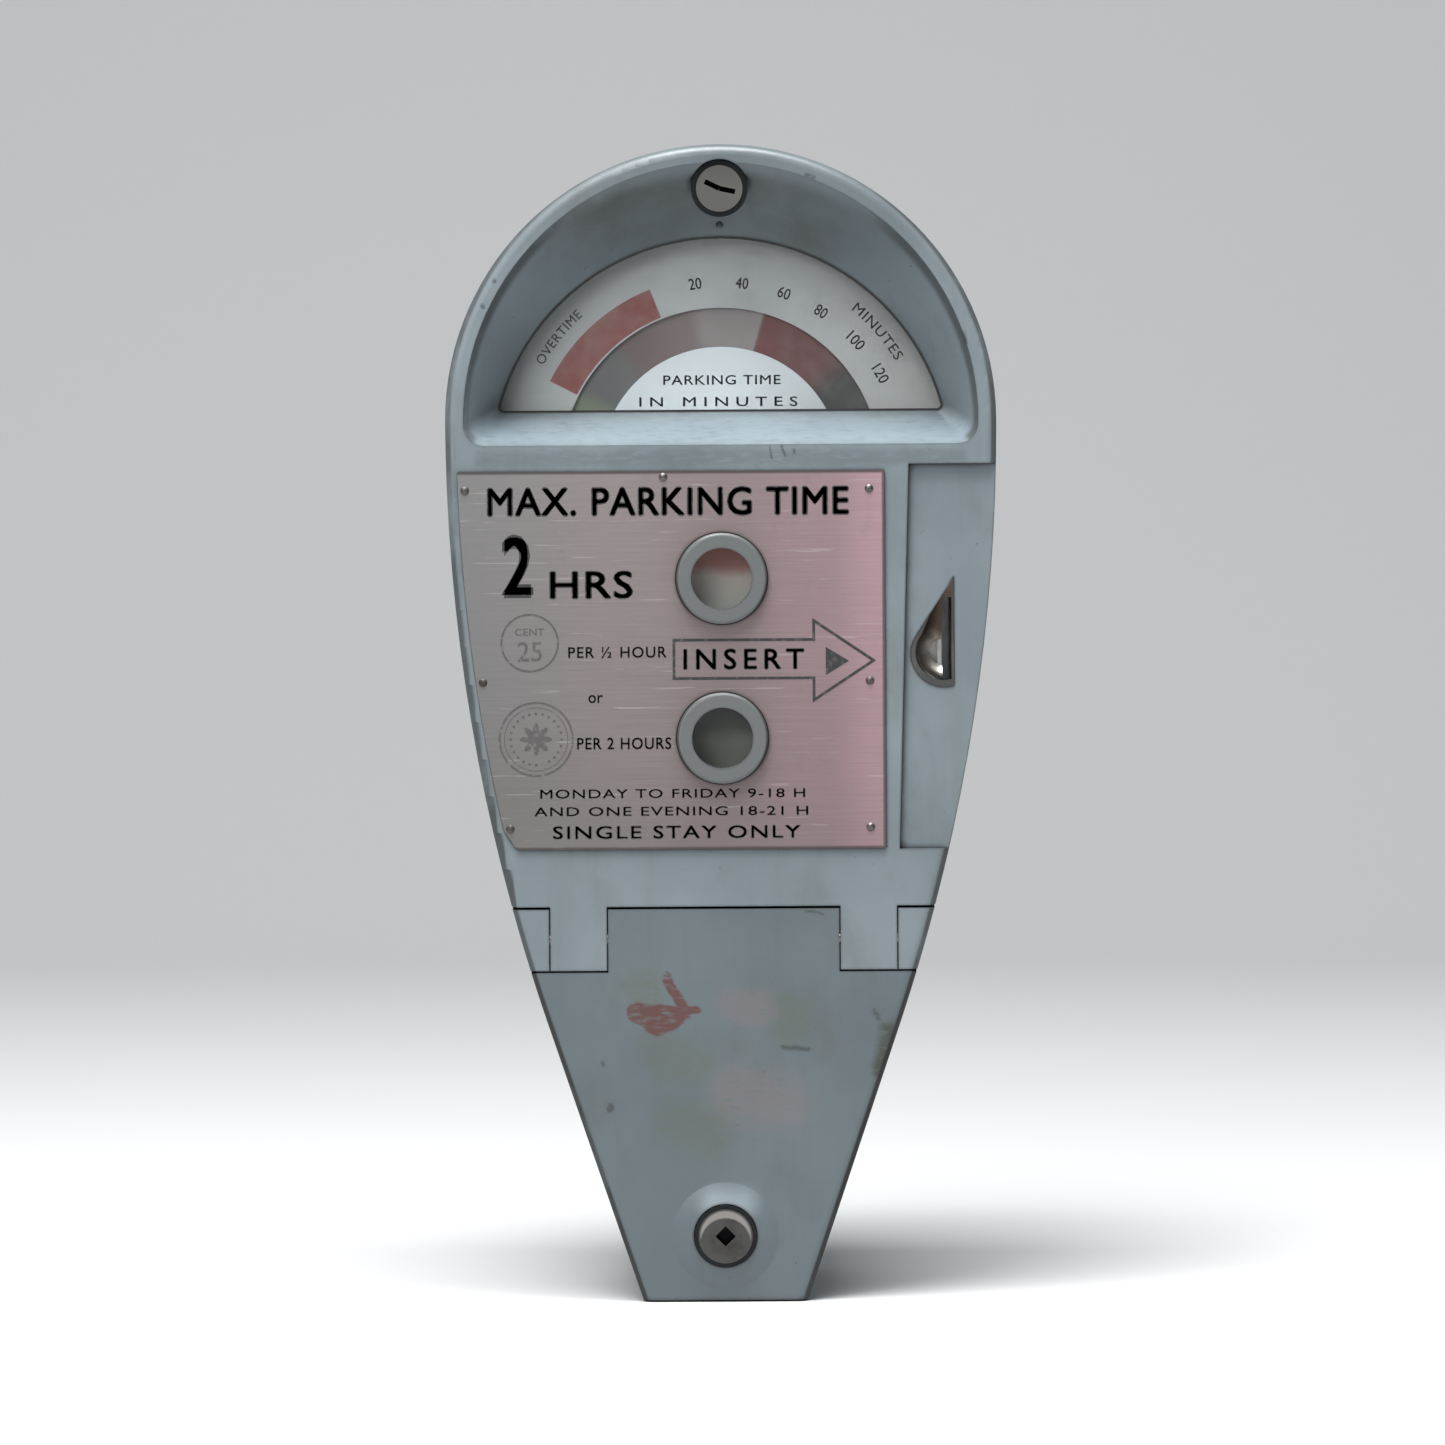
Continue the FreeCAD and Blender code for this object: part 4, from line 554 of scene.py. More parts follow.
DARK_SPOTS = (rgba(0.018, 0.020, 0.018), 0.6, 0.003, FACE_DEPTH, [
    ((0.0195, 0.0840), (0.0275, 0.0832), 0.0001, 0.0012),
    ((-0.0376, 0.0645), (-0.0374, 0.0640), 0.0007, 0.0009),
    ((-0.0400, 0.0790), (-0.0398, 0.0785), 0.0002, 0.0009),
    ((0.0270, 0.1290), (0.0330, 0.1275), 0.0, 0.0007),
    ((0.0490, 0.0955), (0.0505, 0.0935), 0.0, 0.0014),
])
GREEN_STAIN = (rgba(0.030, 0.033, 0.019), 0.80, 0.005, FACE_DEPTH, [
    ((0.0535, 0.090), (0.0540, 0.079), 0.0003, 0.0042),
    ((0.0525, 0.083), (0.0505, 0.075), 0.0002, 0.0034),
])
# A painted highlight on the top of the lock's boss.
BOSS_PAINTED_HIGHLIGHT = (rgba(0.30, 0.35, 0.38), 0.50, 0, FACE_DEPTH, [
    ((-0.0030, 0.0325), (0.0055, 0.0325), 0.0, 0.0085),
])
DOOR_MARKS = [PINK_SMEAR, GREEN_SMEAR, GREEN_STAIN, DARK_SPOTS, BOSS_PAINTED_HIGHLIGHT, SCRIBBLE]
print("marks on the door:", len(DOOR_MARKS))

# %% Marks on the cover
WINDOW_PLACES = [(0.0, 0.2382), (0.0, 0.1858)]
BOSS_GREY = (rgba(0.092, 0.094, 0.090), 0.8, 0, FACE_DEPTH, [
    (place, place, 0.0152, 0.0004) for place in WINDOW_PLACES
])
# A painted shadow: a dark band under the ledge.
LEDGE_PAINTED_SHADOW = (rgba(0.070, 0.086, 0.088), 0.40, 0.004, FACE_DEPTH, [
    ((-0.078, 0.2776), (0.078, 0.2776), 0.0010, 0.0034),
])
# Painted light: a pale band along the top of the ledge.
LEDGE_TOP_PAINTED_LIGHT = (rgba(0.24, 0.30, 0.35), 0.45, 0.003, LEDGE_DEPTH, [
    ((-0.077, 0.2868), (0.077, 0.2868), 0.0026, 0.0034),
])
CHIPS = (rgba(0.020, 0.022, 0.022), 0.6, 0.002, FACE_DEPTH, [
    ((-0.0742, 0.3368), (-0.0740, 0.3362), 0.0003, 0.0008),
    ((-0.0780, 0.3282), (-0.0778, 0.3278), 0.0003, 0.0008),
    ((0.0285, 0.3702), (0.0310, 0.3694), 0.0002, 0.0008),
    ((0.0800, 0.3180), (0.0808, 0.3150), 0.0003, 0.0007),
    ((0.0160, 0.2812), (0.0168, 0.2775), 0.0001, 0.0005),
    ((0.0200, 0.2816), (0.0212, 0.2780), 0.0001, 0.0005),
    ((0.0238, 0.2806), (0.0240, 0.2790), 0.0001, 0.0005),
])
COVER_MARKS = [BOSS_GREY, LEDGE_PAINTED_SHADOW, LEDGE_TOP_PAINTED_LIGHT, CHIPS]
print("marks on the cover:", len(COVER_MARKS))

# %% Paint for each casting
CASTING_BLUE = rgba(0.138, 0.170, 0.186)
DOOR_BLUE = rgba(0.084, 0.108, 0.119)
COVER_PAINT = casting_paint("cover_enamel", CASTING_BLUE, 0.8, 0.7, COVER_MARKS)
HOUSING_PAINT = casting_paint("housing_enamel", CASTING_BLUE, 0.8, 0.7)
DOOR_PAINT = casting_paint("door_enamel", DOOR_BLUE, 0.95, 0.9, DOOR_MARKS, outline=0.92)
print("casting paints made")


# %% [markdown]
# ### Instruction plate
#
# The plate is brushed aluminium under a clear print. Its colour runs from grey at the left to a lighter
# pink at the right, a painted shade darkens it towards the bottom, dirt gathers in the lower left
# corner, and a dark line borders its straight edges. The colour runs across X, and the brushed grain
# lies along X.

# %% Plate metal
PLATE_PINKS = [
    (0.0, rgba(0.205, 0.200, 0.202)),
    (0.38, rgba(0.240, 0.208, 0.203)),
    (0.62, rgba(0.236, 0.185, 0.186)),
    (0.86, rgba(0.285, 0.202, 0.212)),
    (1.0, rgba(0.385, 0.250, 0.272)),
]


def plate_metal():
    """Aluminium in the pinks above, under brushed grain, a painted shade towards the bottom, soil,
    scratches, corner dirt with painted shade and a border.
    """
    material, tree, shader = finish("plate_metal", Metallic=0.35)
    x, _, z = axes(tree)
    across = position(tree, x, plate_low[0], plate_high[0])
    cloud = noise(tree, 1.0, 4.0, stretch=(9, 1, 14))
    across = plus(tree, across, times(tree, minus(tree, cloud, 0.5), 0.14))
    tint = colour_run(tree, across, PLATE_PINKS)
    grain = use(tree, BRUSHED, Depth=1.0)
    upright = position(tree, z, plate_low[2], plate_high[2])
    shade = plus(tree, times(tree, grain["Grain"], 0.4), 0.56)
    # A painted shade: the plate is darker towards the bottom.
    shade = plus(tree, shade, times(tree, upright, 0.22))
    tint = mix_colour(tree, 1.0, tint, grey(tree, shade), "MULTIPLY")
    low_left = plus(tree, position(tree, x, 0.0, -0.075), position(tree, z, 0.20, 0.155))
    soil = times(tree, ramp(tree, low_left, 0.5, 1.9), 0.5)
    stains = ramp(tree, noise(tree, 65.0, 6.0, 0.65), 0.52, 0.78)
    soil = plus(tree, soil, times(tree, stains, 0.3), clamp=True)
    tint = mix_colour(tree, soil, tint, rgba(0.12, 0.115, 0.10))
    tint = mix_colour(tree, times(tree, grain["Scratch"], 0.25), tint, rgba(0.50, 0.47, 0.46))
    # Corner dirt with painted shade in closed-in places.
    dirt = use(tree, CORNER_DIRT_AND_SHADE, Reach=0.002)["Mask"]
    tint = mix_colour(tree, times(tree, dirt, 0.7), tint, rgba(0.03, 0.028, 0.025))
    right = minus(tree, plate_high[0], x)
    top = minus(tree, plate_high[2], z)
    bottom = minus(tree, z, plate_low[2])
    inset = math_node(tree, "MINIMUM", right, math_node(tree, "MINIMUM", top, bottom))
    border = flip(tree, ramp(tree, inset, 0.0004, 0.0012))
    tint = mix_colour(tree, times(tree, border, 0.8), tint, rgba(0.045, 0.032, 0.033))
    surface(tree, shader, tint, plus(tree, times(tree, soil, 0.3), 0.36))
    bump(tree, shader, grain["Grain"], 0.00004, 0.5)
    return material


PLATE = plate_metal()
print("plate finish:", PLATE.name)


# %% [markdown]
# ### Bare metals
#
# Zinc-plated steel is grey and cloudy, and clock brass is warm and tarnishes in patches. One function
# makes them all, with two colours and the share of tarnish. The locks are steel polished by years of
# keys. Their keyways are painted black inside, a painted shade with grime, and the lower one has a
# painted highlight on its face, shaped as one circle less another.

# %% Metals
def metal(name, tint, tarnish, amount, rough, grain_depth=0.4):
    """Metal with cloudy tarnish, fine brushing and rubbed edges."""
    material, tree, shader = finish(name, Metallic=1.0)
    cloud = ramp(tree, noise(tree, 90.0, 6.0, 0.6), 0.42, 0.78)
    mask = times(tree, cloud, amount)
    grain = use(tree, BRUSHED, Depth=grain_depth)
    colour = mix_colour(tree, mask, tint, tarnish)
    edge = use(tree, EDGE_WEAR, Width=0.0006, Breakup=0.8)["Mask"]
    bright = mix_colour(tree, 1.0, tint, rgba(1.35, 1.35, 1.35), "MULTIPLY")
    colour = mix_colour(tree, times(tree, edge, 0.6), colour, bright)
    surface(tree, shader, colour, plus(tree, times(tree, mask, 0.35), rough, clamp=True))
    bump(tree, shader, grain["Grain"], 0.00003, 0.5)
    return material


def lock_metal(name, node, tint, tarnish, painted_highlight=None):
    """Metal that is painted black inside the keyway, as shade and grime. An optional painted highlight is
    given as two circles (x, z, radius): the first less the second.
    """
    material = metal(name, tint, tarnish, 0.8, 0.34)
    tree = material.node_tree
    shader = tree.nodes["Principled BSDF"]
    colour = shader.inputs["Base Color"].links[0].from_socket
    x, depth, z = axes(tree)
    if painted_highlight:
        # A painted highlight on the face: one circle less another.
        inner, outer = (capsule(tree, x, z, (cx, cz), (cx, cz), size, 0.0006) for cx, cz, size in painted_highlight)
        highlight_mask = times(tree, inner, flip(tree, outer))
        colour = mix_colour(tree, times(tree, highlight_mask, 0.8), colour, rgba(0.36, 0.34, 0.31))
    front = box_of(node)[0][1]
    # Painted shade with grime: black inside the keyway.
    keyway_shade_and_grime = ramp(tree, depth, front + 0.0002, front + 0.0005)
    colour = mix_colour(tree, keyway_shade_and_grime, colour, rgba(0.006, 0.006, 0.007))
    put(tree, shader, "Base Color", colour)
    return material


PLATED = metal("plated_steel", rgba(0.52, 0.52, 0.50), rgba(0.22, 0.20, 0.17), 0.6, 0.30)
DARK_STEEL = metal("dark_steel", rgba(0.10, 0.10, 0.10), rgba(0.05, 0.04, 0.03), 0.7, 0.38)
LOCK_RING = metal("lock_ring", rgba(0.026, 0.027, 0.029), rgba(0.012, 0.012, 0.012), 0.6, 0.42)
LOCK_FACE = lock_metal("lock_face", "upper_lock_plug", rgba(0.215, 0.212, 0.195), rgba(0.10, 0.085, 0.07))
LOWER_FACE = lock_metal(
    "lower_lock_face",
    "lower_lock_plug",
    rgba(0.090, 0.089, 0.086),
    rgba(0.045, 0.041, 0.036),
    # The two circles of the painted highlight.
    [(0.0, 0.0220, 0.0080), (0.0, 0.0197, 0.0080)],
)
BRASS = metal("clock_brass", rgba(0.62, 0.42, 0.16), rgba(0.22, 0.13, 0.05), 0.45, 0.26)
WHEEL_METAL = metal("wheel_metal", rgba(0.34, 0.35, 0.33), rgba(0.10, 0.10, 0.09), 0.6, 0.42)
RIVETS = metal("rivet_metal", rgba(0.13, 0.12, 0.115), rgba(0.04, 0.035, 0.03), 0.9, 0.42)
EMPTY_BOX = metal("coin_box_steel", rgba(0.20, 0.21, 0.21), rgba(0.10, 0.08, 0.06), 0.5, 0.45)
print("metals made")


# %% [markdown]
# ### Coin entry
#
# The scoop is chrome over brass. It is bright at the bottom and turns dark brown towards the top. Its
# front rim is dull and dark.

# %% Coin entry chrome
def entry_chrome():
    """Chrome that turns dark brown with height, broken up by noise, with a dull dark rim at its front."""
    material, tree, shader = finish("entry_chrome", Metallic=1.0)
    _, front, foot = box_of("coin_entry_insert")[0]
    _, depth, z = axes(tree)
    height = position(tree, z, foot + 0.012, foot + 0.034)
    patch = noise(tree, 140.0, 5.0)
    browning = ramp(tree, plus(tree, height, times(tree, patch, 0.7)), 0.45, 1.25)
    colour = mix_colour(tree, browning, rgba(0.66, 0.65, 0.62), rgba(0.085, 0.062, 0.048))
    rim = flip(tree, ramp(tree, depth, front + 0.0003, front + 0.0010))
    colour = mix_colour(tree, times(tree, rim, 0.75), colour, rgba(0.10, 0.10, 0.095))
    surface(tree, shader, colour, plus(tree, times(tree, browning, 0.3), 0.17))
    bump(tree, shader, patch, 0.0001, 0.3)
    return material


ENTRY = entry_chrome()
print("coin entry finish:", ENTRY.name)


# %% [markdown]
# ### Glass and rubber
#
# The panes are real glass with a film of dust. Light that only passes through on its way to the dial is
# let through unbent, because a path tracer would otherwise lose it and leave the dial too dark.

# %% Glass and rubber
def glass(name, tint, dust):
    """Clear glass whose roughness grows where dust lies. Shadow rays pass straight through."""
    material, tree, shader = finish(name, Transmission_Weight=1.0, IOR=1.46)
    shader.inputs["Base Color"].default_value = tint
    film = ramp(tree, noise(tree, 40.0, 6.0, 0.62, stretch=(1, 1, 0.7)), 0.5, 0.85)
    put(tree, shader, "Roughness", plus(tree, times(tree, film, dust), 0.015))
    clear = tree.nodes.new("ShaderNodeBsdfTransparent")
    clear.inputs[0].default_value = tint
    path = tree.nodes.new("ShaderNodeLightPath")
    blend = tree.nodes.new("ShaderNodeMixShader")
    tree.links.new(path.outputs["Is Shadow Ray"], blend.inputs[0])
    tree.links.new(shader.outputs[0], blend.inputs[1])
    tree.links.new(clear.outputs[0], blend.inputs[2])
    tree.links.new(blend.outputs[0], tree.nodes["Material Output"].inputs[0])
    return material


def rubber():
    """Black rubber with a fine grain, a little paler where it has perished."""
    material, tree, shader = finish("black_rubber")
    grain = noise(tree, 900.0, 3.0)
    colour = mix_colour(tree, grain, rgba(0.012, 0.012, 0.012), rgba(0.045, 0.043, 0.04))
    surface(tree, shader, colour, plus(tree, times(tree, grain, 0.2), 0.6))
    bump(tree, shader, grain, 0.00005, 0.5)
    return material


WINDOW = glass("window_glass", rgba(0.93, 0.95, 0.94), 0.10)
LENS = glass("lens_glass", rgba(0.82, 0.84, 0.80), 0.30)
RUBBER = rubber()
print("glass and rubber made")


# %% [markdown]
# ### Dial and time disc
#
# Both are enamelled sheet metal painted in bands round the time arbor. Two numbers describe any point:
# its distance from the arbor and its angle clockwise from the top. Bands are steps in those numbers,
# and because the colours belong to the disc's own coordinates they turn with it.

# %% Polar coordinates in a material
def polar(tree):
    """Distance from the time arbor in metres, and the angle clockwise from the top in degrees."""
    x, _, z = axes(tree)
    x, z = minus(tree, x, DIAL_X), minus(tree, z, DIAL_Z)
    angle = times(tree, math_node(tree, "ARCTAN2", x, z), 180 / math.pi)
    return reach_of(tree, x, z), angle


def band(tree, value, low, high, soft):
    """1 between low and high, with soft ends."""
    rise = ramp(tree, value, low - soft, low + soft)
    fall = ramp(tree, value, high - soft, high + soft)
    return times(tree, rise, flip(tree, fall))


# %% Dial enamel
HUB_R = 0.0402
RED_RADII = (0.0535, 0.0636)
RED_ANGLES = (-63.0, -21.5)
SHARP = 0.0001


def dial_enamel():
    """White enamel: a whiter hub, a painted shade to the right, a worn red band, and dirt towards the rim.
    """
    material, tree, shader = finish("dial_enamel")
    reach, angle = polar(tree)
    hub = flip(tree, ramp(tree, reach, HUB_R - SHARP, HUB_R + SHARP))
    colour = mix_colour(tree, hub, rgba(0.50, 0.505, 0.515), rgba(0.66, 0.70, 0.75))
    # A painted shade darkens the dial towards the right.
    shade = times(tree, ramp(tree, angle, 0.0, 75.0), 0.46)
    colour = mix_colour(tree, shade, colour, rgba(0.22, 0.215, 0.21))
    red = times(tree, band(tree, reach, *RED_RADII, SHARP), band(tree, angle, *RED_ANGLES, 0.15))
    fade = ramp(tree, noise(tree, 120.0, 5.0), 0.3, 0.8)
    worn_red = mix_colour(tree, fade, rgba(0.26, 0.060, 0.052), rgba(0.32, 0.155, 0.145))
    colour = mix_colour(tree, red, colour, worn_red)
    soil = ramp(tree, noise(tree, 75.0, 6.0, 0.62), 0.45, 0.85)
    rim = ramp(tree, reach, 0.060, 0.080)
    dirt = plus(tree, times(tree, soil, 0.22), times(tree, rim, 0.22))
    dirt = times(tree, dirt, flip(tree, times(tree, hub, 0.8)))
    colour = mix_colour(tree, dirt, colour, rgba(0.16, 0.14, 0.12))
    surface(tree, shader, colour, plus(tree, times(tree, soil, 0.2), 0.45))
    bump(tree, shader, soil, 0.00005, 0.3)
    return material


# %% Time disc enamel
DISC_COLOURS = [
    (-90, rgba(0.21, 0.24, 0.18)),
    (-66, rgba(0.19, 0.22, 0.15)),
    (-58, rgba(0.12, 0.12, 0.125)),
    (-44, rgba(0.13, 0.125, 0.125)),
    (-38, rgba(0.15, 0.105, 0.108)),
    (-14, rgba(0.20, 0.145, 0.148)),
    (-5, rgba(0.28, 0.24, 0.245)),
    (15.6, rgba(0.29, 0.25, 0.255)),
    (16.4, rgba(0.155, 0.042, 0.042)),
    (42, rgba(0.13, 0.045, 0.045)),
    (56, rgba(0.05, 0.046, 0.047)),
    (90, rgba(0.05, 0.05, 0.05)),
]


def disc_enamel():
    """Enamel whose colour is read from the list above, by the angle in degrees round the arbor."""
    material, tree, shader = finish("time_disc_enamel")
    _, angle = polar(tree)
    turn = position(tree, angle, -90.0, 90.0)
    colour = colour_run(tree, turn, [((a + 90) / 180, tint) for a, tint in DISC_COLOURS])
    fade = ramp(tree, noise(tree, 150.0, 6.0, 0.65), 0.4, 0.8)
    colour = mix_colour(tree, times(tree, fade, 0.25), colour, rgba(0.22, 0.20, 0.19))
    surface(tree, shader, colour, plus(tree, times(tree, fade, 0.25), 0.4))
    bump(tree, shader, fade, 0.00005, 0.3)
    return material


# %% Enamel behind the coin wheel
BACK_COLOURS = [
    (0.0, rgba(0.24, 0.25, 0.24)),
    (0.17, rgba(0.28, 0.285, 0.27)),
    (0.24, rgba(0.15, 0.148, 0.142)),
    (0.5, rgba(0.10, 0.08, 0.08)),
    (0.72, rgba(0.80, 0.76, 0.77)),
    (0.80, rgba(0.94, 0.80, 0.80)),
    (0.86, rgba(0.74, 0.26, 0.24)),
    (1.0, rgba(0.62, 0.17, 0.15)),
]


def back_enamel():
    """The plate behind the coin wheel, coloured by height: grey below, dark across, then pink and red."""
    material, tree, shader = finish("coin_back_enamel")
    _, _, z = axes(tree)
    low, high = box_of("coin_back_plate")
    height = position(tree, z, low[2], high[2])
    patch = noise(tree, 130.0, 5.0)
    height = plus(tree, height, times(tree, minus(tree, patch, 0.5), 0.05))
    colour = colour_run(tree, height, BACK_COLOURS)
    surface(tree, shader, colour, plus(tree, times(tree, patch, 0.3), 0.3))
    bump(tree, shader, patch, 0.0001, 0.4)
    return material


DIAL = dial_enamel()
DISC = disc_enamel()
BACK = back_enamel()
print("enamels made")


# %% [markdown]
# ### Ink
#
# Print on the plate and dial is black ink that has started to wear through, so its colour is a dark
# grey broken up by fine noise.

# %% Ink
def ink(name, tint, wear):
    """Ink of a tint, rubbed towards the metal's grey by the wear."""
    material, tree, shader = finish(name)
    rub = ramp(tree, noise(tree, 520.0, 5.0, 0.7), 0.5, 0.75)
    colour = mix_colour(tree, times(tree, rub, wear), tint, rgba(0.30, 0.27, 0.26))
    surface(tree, shader, colour, plus(tree, times(tree, rub, 0.2), 0.55))
    return material


INK = ink("plate_ink", rgba(0.018, 0.018, 0.02), 0.35)
FAINT_INK = ink("worn_ink", rgba(0.07, 0.065, 0.065), 0.6)
DIAL_INK = ink("dial_ink", rgba(0.08, 0.08, 0.085), 0.5)
print("inks mixed")


# %% [markdown]
# ## Dress the nodes
#
# Each CAD node keeps its mesh and gets the finish of the real piece. A table of names is easier to
# check than fifty separate lines.

# %% Assign the finishes
DRESS = {
    "front_cover": COVER_PAINT,
    "rear_housing": HOUSING_PAINT,
    "socket_foot": HOUSING_PAINT,
    "vault_door": DOOR_PAINT,
    "instruction_plate": PLATE,
    "plate_rivets": RIVETS,
    "coin_entry_insert": ENTRY,
    "window_glass": WINDOW,
    "rear_window_glass": WINDOW,
    "coin_window_lenses": LENS,
    "window_gasket": RUBBER,
    "rear_window_gasket": RUBBER,
    "dial_plate": DIAL,
    "time_disc": DISC,
    "coin_back_plate": BACK,
    "coin_wheel": WHEEL_METAL,
    "upper_lock_body": LOCK_RING,
    "upper_lock_plug": LOCK_FACE,
    "lower_lock_body": LOCK_RING,
    "lower_lock_plug": LOWER_FACE,
    "coin_box": EMPTY_BOX,
}
BY_SLOT = {"plated_steel": PLATED, "dark_steel": DARK_STEEL, "brass": BRASS, "lock_face": LOCK_FACE}
slot_of = {entry["node"]: entry["material_slot"] for entry in frame["record"]["subparts"]}
for name, thing in nodes.items():
    chosen = DRESS.get(name) or BY_SLOT[slot_of[name]]
    for slot in thing.material_slots:
        slot.material = chosen
print("dressed", len(nodes), "nodes")


# %% [markdown]
# ## Print on the plate and the dial
#
# Letters start as a font curve. It becomes a mesh, its points are read as one array, and a formula
# places them: straight on the plate, or bent round the time arbor on the dial.

# %% Mesh helpers
def new_piece(name, points, faces, material, body):
    """An object from arrays of points and faces, dressed, named and riding on a body."""
    mesh = bpy.data.meshes.new(name)
    mesh.from_pydata([tuple(p) for p in points], [], [tuple(f) for f in faces])
    mesh.validate()
    mesh.materials.append(material)
    made = bpy.data.objects.new(name, mesh)
    bpy.context.scene.collection.objects.link(made)
    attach(made, body)
    return made


def letters(text, weight=0.0, spacing=1.0):
    """Points (x, y) and faces of a line of text whose box starts at the origin, in font units.

    A heavier face is the same letters printed again, moved by the weight to each side and up and down.
    """
    curve = bpy.data.curves.new("letters", "FONT")
    curve.body = text
    curve.space_character = spacing
    curve.resolution_u = 3
    holder = bpy.data.objects.new("letters", curve)
    bpy.context.scene.collection.objects.link(holder)
    bpy.context.view_layer.update()
    mesh = bpy.data.meshes.new_from_object(holder.evaluated_get(bpy.context.evaluated_depsgraph_get()))
    flat = np.zeros(len(mesh.vertices) * 3)
    mesh.vertices.foreach_get("co", flat)
    faces = [tuple(p.vertices) for p in mesh.polygons]
    bpy.data.objects.remove(holder)
    bpy.data.curves.remove(curve)
    bpy.data.meshes.remove(mesh)
    points = flat.reshape(-1, 3)[:, :2]
    shifts = np.array([(0, 0)] if weight == 0 else [(0, 0), (-1, 0), (1, 0), (0, 1), (0, -1)]) * weight
    count = len(points)
    faces = [tuple(v + n * count for v in face) for n in range(len(shifts)) for face in faces]
    points = np.concatenate([points + shift for shift in shifts])
    return points - points.min(axis=0), faces


PRINT_GAP = 0.00006


def stretched_to(points, x0, x1, z0, z1):
    """X and Z of a line of text stretched to fill the box from (x0, z0) to (x1, z1)."""
    width, height = points.max(axis=0)
    return x0 + points[:, 0] * (x1 - x0) / width, z0 + points[:, 1] * (z1 - z0) / height


def flat_on(face, x, z):
    """Points at X and Z, a print's thickness in front of a face."""
    return np.stack([x, np.full(len(x), face - PRINT_GAP), z], axis=1)


def plate_line(name, text, x0, x1, z0, z1, material=INK, weight=0.0, spacing=1.0):
    """A line of text that fills a box on the plate's face."""
    points, faces = letters(text, weight, spacing)
    placed = flat_on(PLATE_FACE, *stretched_to(points, x0, x1, z0, z1))
    return new_piece(name, placed, faces, material, "cover")


def dial_line(name, text, x0, x1, z0, z1, spacing=1.1):
    """A straight line of text on the dial's white hub."""
    points, faces = letters(text, 0.008, spacing)
    placed = flat_on(DIAL_FACE, *stretched_to(points, x0, x1, z0, z1))
    return new_piece(name, placed, faces, DIAL_INK, "housing")


def dial_arc(name, text, radius, degrees, height, width, weight, spacing=1.0):
    """Text bent round the time arbor: x along the line becomes an angle, y becomes a radius."""
    points, faces = letters(text, weight, spacing)
    size = points.max(axis=0)
    angle = math.radians(degrees) + (points[:, 0] / size[0] - 0.5) * width / radius
    reach = radius + (points[:, 1] / size[1] - 0.5) * height
    placed = flat_on(DIAL_FACE, DIAL_X + reach * np.sin(angle), DIAL_Z + reach * np.cos(angle))
    return new_piece(name, placed, faces, DIAL_INK, "housing")


# %% [markdown]
# Outlines such as the coin circles and the arrow are strokes: a closed path with a width. Each point
# moves out and in along the mean of its two edges' normals, and the two rings are joined with quads.

# %% Stroke helper
def stroke(name, path, width, material=INK):
    """A closed line of a width on the plate.

    Corners are mitred: the sum of the two edges' normals over one plus their dot product is a shift
    that keeps both edges at half the width.
    """
    path = np.asarray(path, float)
    ahead = np.roll(path, -1, axis=0) - path
    ahead /= np.linalg.norm(ahead, axis=1)[:, None]
    side = np.stack([ahead[:, 1], -ahead[:, 0]], axis=1)
    mitre = side + np.roll(side, 1, axis=0)
    mitre /= (1 + (side * np.roll(side, 1, axis=0)).sum(axis=1))[:, None]
    flat = np.concatenate([path + mitre * width / 2, path - mitre * width / 2])
    count = len(path)
    here = np.arange(count)
    after = (here + 1) % count
    faces = np.stack([here, after, after + count, here + count], axis=1)
    placed = flat_on(PLATE_FACE, flat[:, 0], flat[:, 1])
    return new_piece(name, placed, faces.tolist(), material, "cover")


def circle(x, z, radius, count=64):
    """Points round a circle, counter-clockwise as seen from the front."""
    turn = np.linspace(0, 2 * np.pi, count, endpoint=False)
    return np.stack([x + radius * np.cos(turn), z + radius * np.sin(turn)], axis=1)


def filled(name, path, material=INK):
    """A filled shape on the plate."""
    path = np.asarray(path, float)
    placed = flat_on(PLATE_FACE, path[:, 0], path[:, 1])
    return new_piece(name, placed, [tuple(range(len(path)))], material, "cover")


# %% [markdown]
# ### The plate's wording
#
# The wording is generic: the longest stay, the price of a half hour and of two hours shown by two
# coins, and an arrow to the coin entry. The coins are drawn at life size, with a numeral on one and a
# plain rosette on the other.

# %% Plate wording
plate_line("heading_text", "MAX. PARKING TIME", -0.0768, 0.0420, 0.2587, 0.2685, INK, 0.030, 1.06)
plate_line("hours_numeral", "2", -0.0722, -0.0618, 0.2322, 0.2530, INK, 0.034)
plate_line("hours_text", "HRS", -0.0565, -0.0290, 0.2316, 0.2410, INK, 0.024, 1.08)
plate_line("half_hour_text", "PER ½ HOUR", -0.0505, -0.0182, 0.2122, 0.2160, FAINT_INK, 0.014, 1.12)
plate_line("or_text", "or", -0.0440, -0.0392, 0.1975, 0.2002, FAINT_INK, 0.01)
plate_line("two_hours_text", "PER 2 HOURS", -0.0478, -0.0168, 0.1822, 0.1862, FAINT_INK, 0.020, 1.1)
plate_line("days_text", "MONDAY TO FRIDAY 9-18 H", -0.0600, 0.0270, 0.1662, 0.1692, FAINT_INK, 0.008, 1.12)
evening = "AND ONE EVENING 18-21 H"
plate_line("evening_text", evening, -0.0620, 0.0280, 0.1604, 0.1634, FAINT_INK, 0.008, 1.12)
plate_line("stay_text", "SINGLE STAY ONLY", -0.0560, 0.0255, 0.1528, 0.1572, FAINT_INK, 0.022, 1.15)

# %% Coins on the plate
def coin_word(name, text, half_width, low, high):
    """A word on the small coin, centred on it, between two heights above the coin's middle."""
    x, z = SMALL_COIN
    plate_line(name, text, x - half_width, x + half_width, z + low, z + high, FAINT_INK)


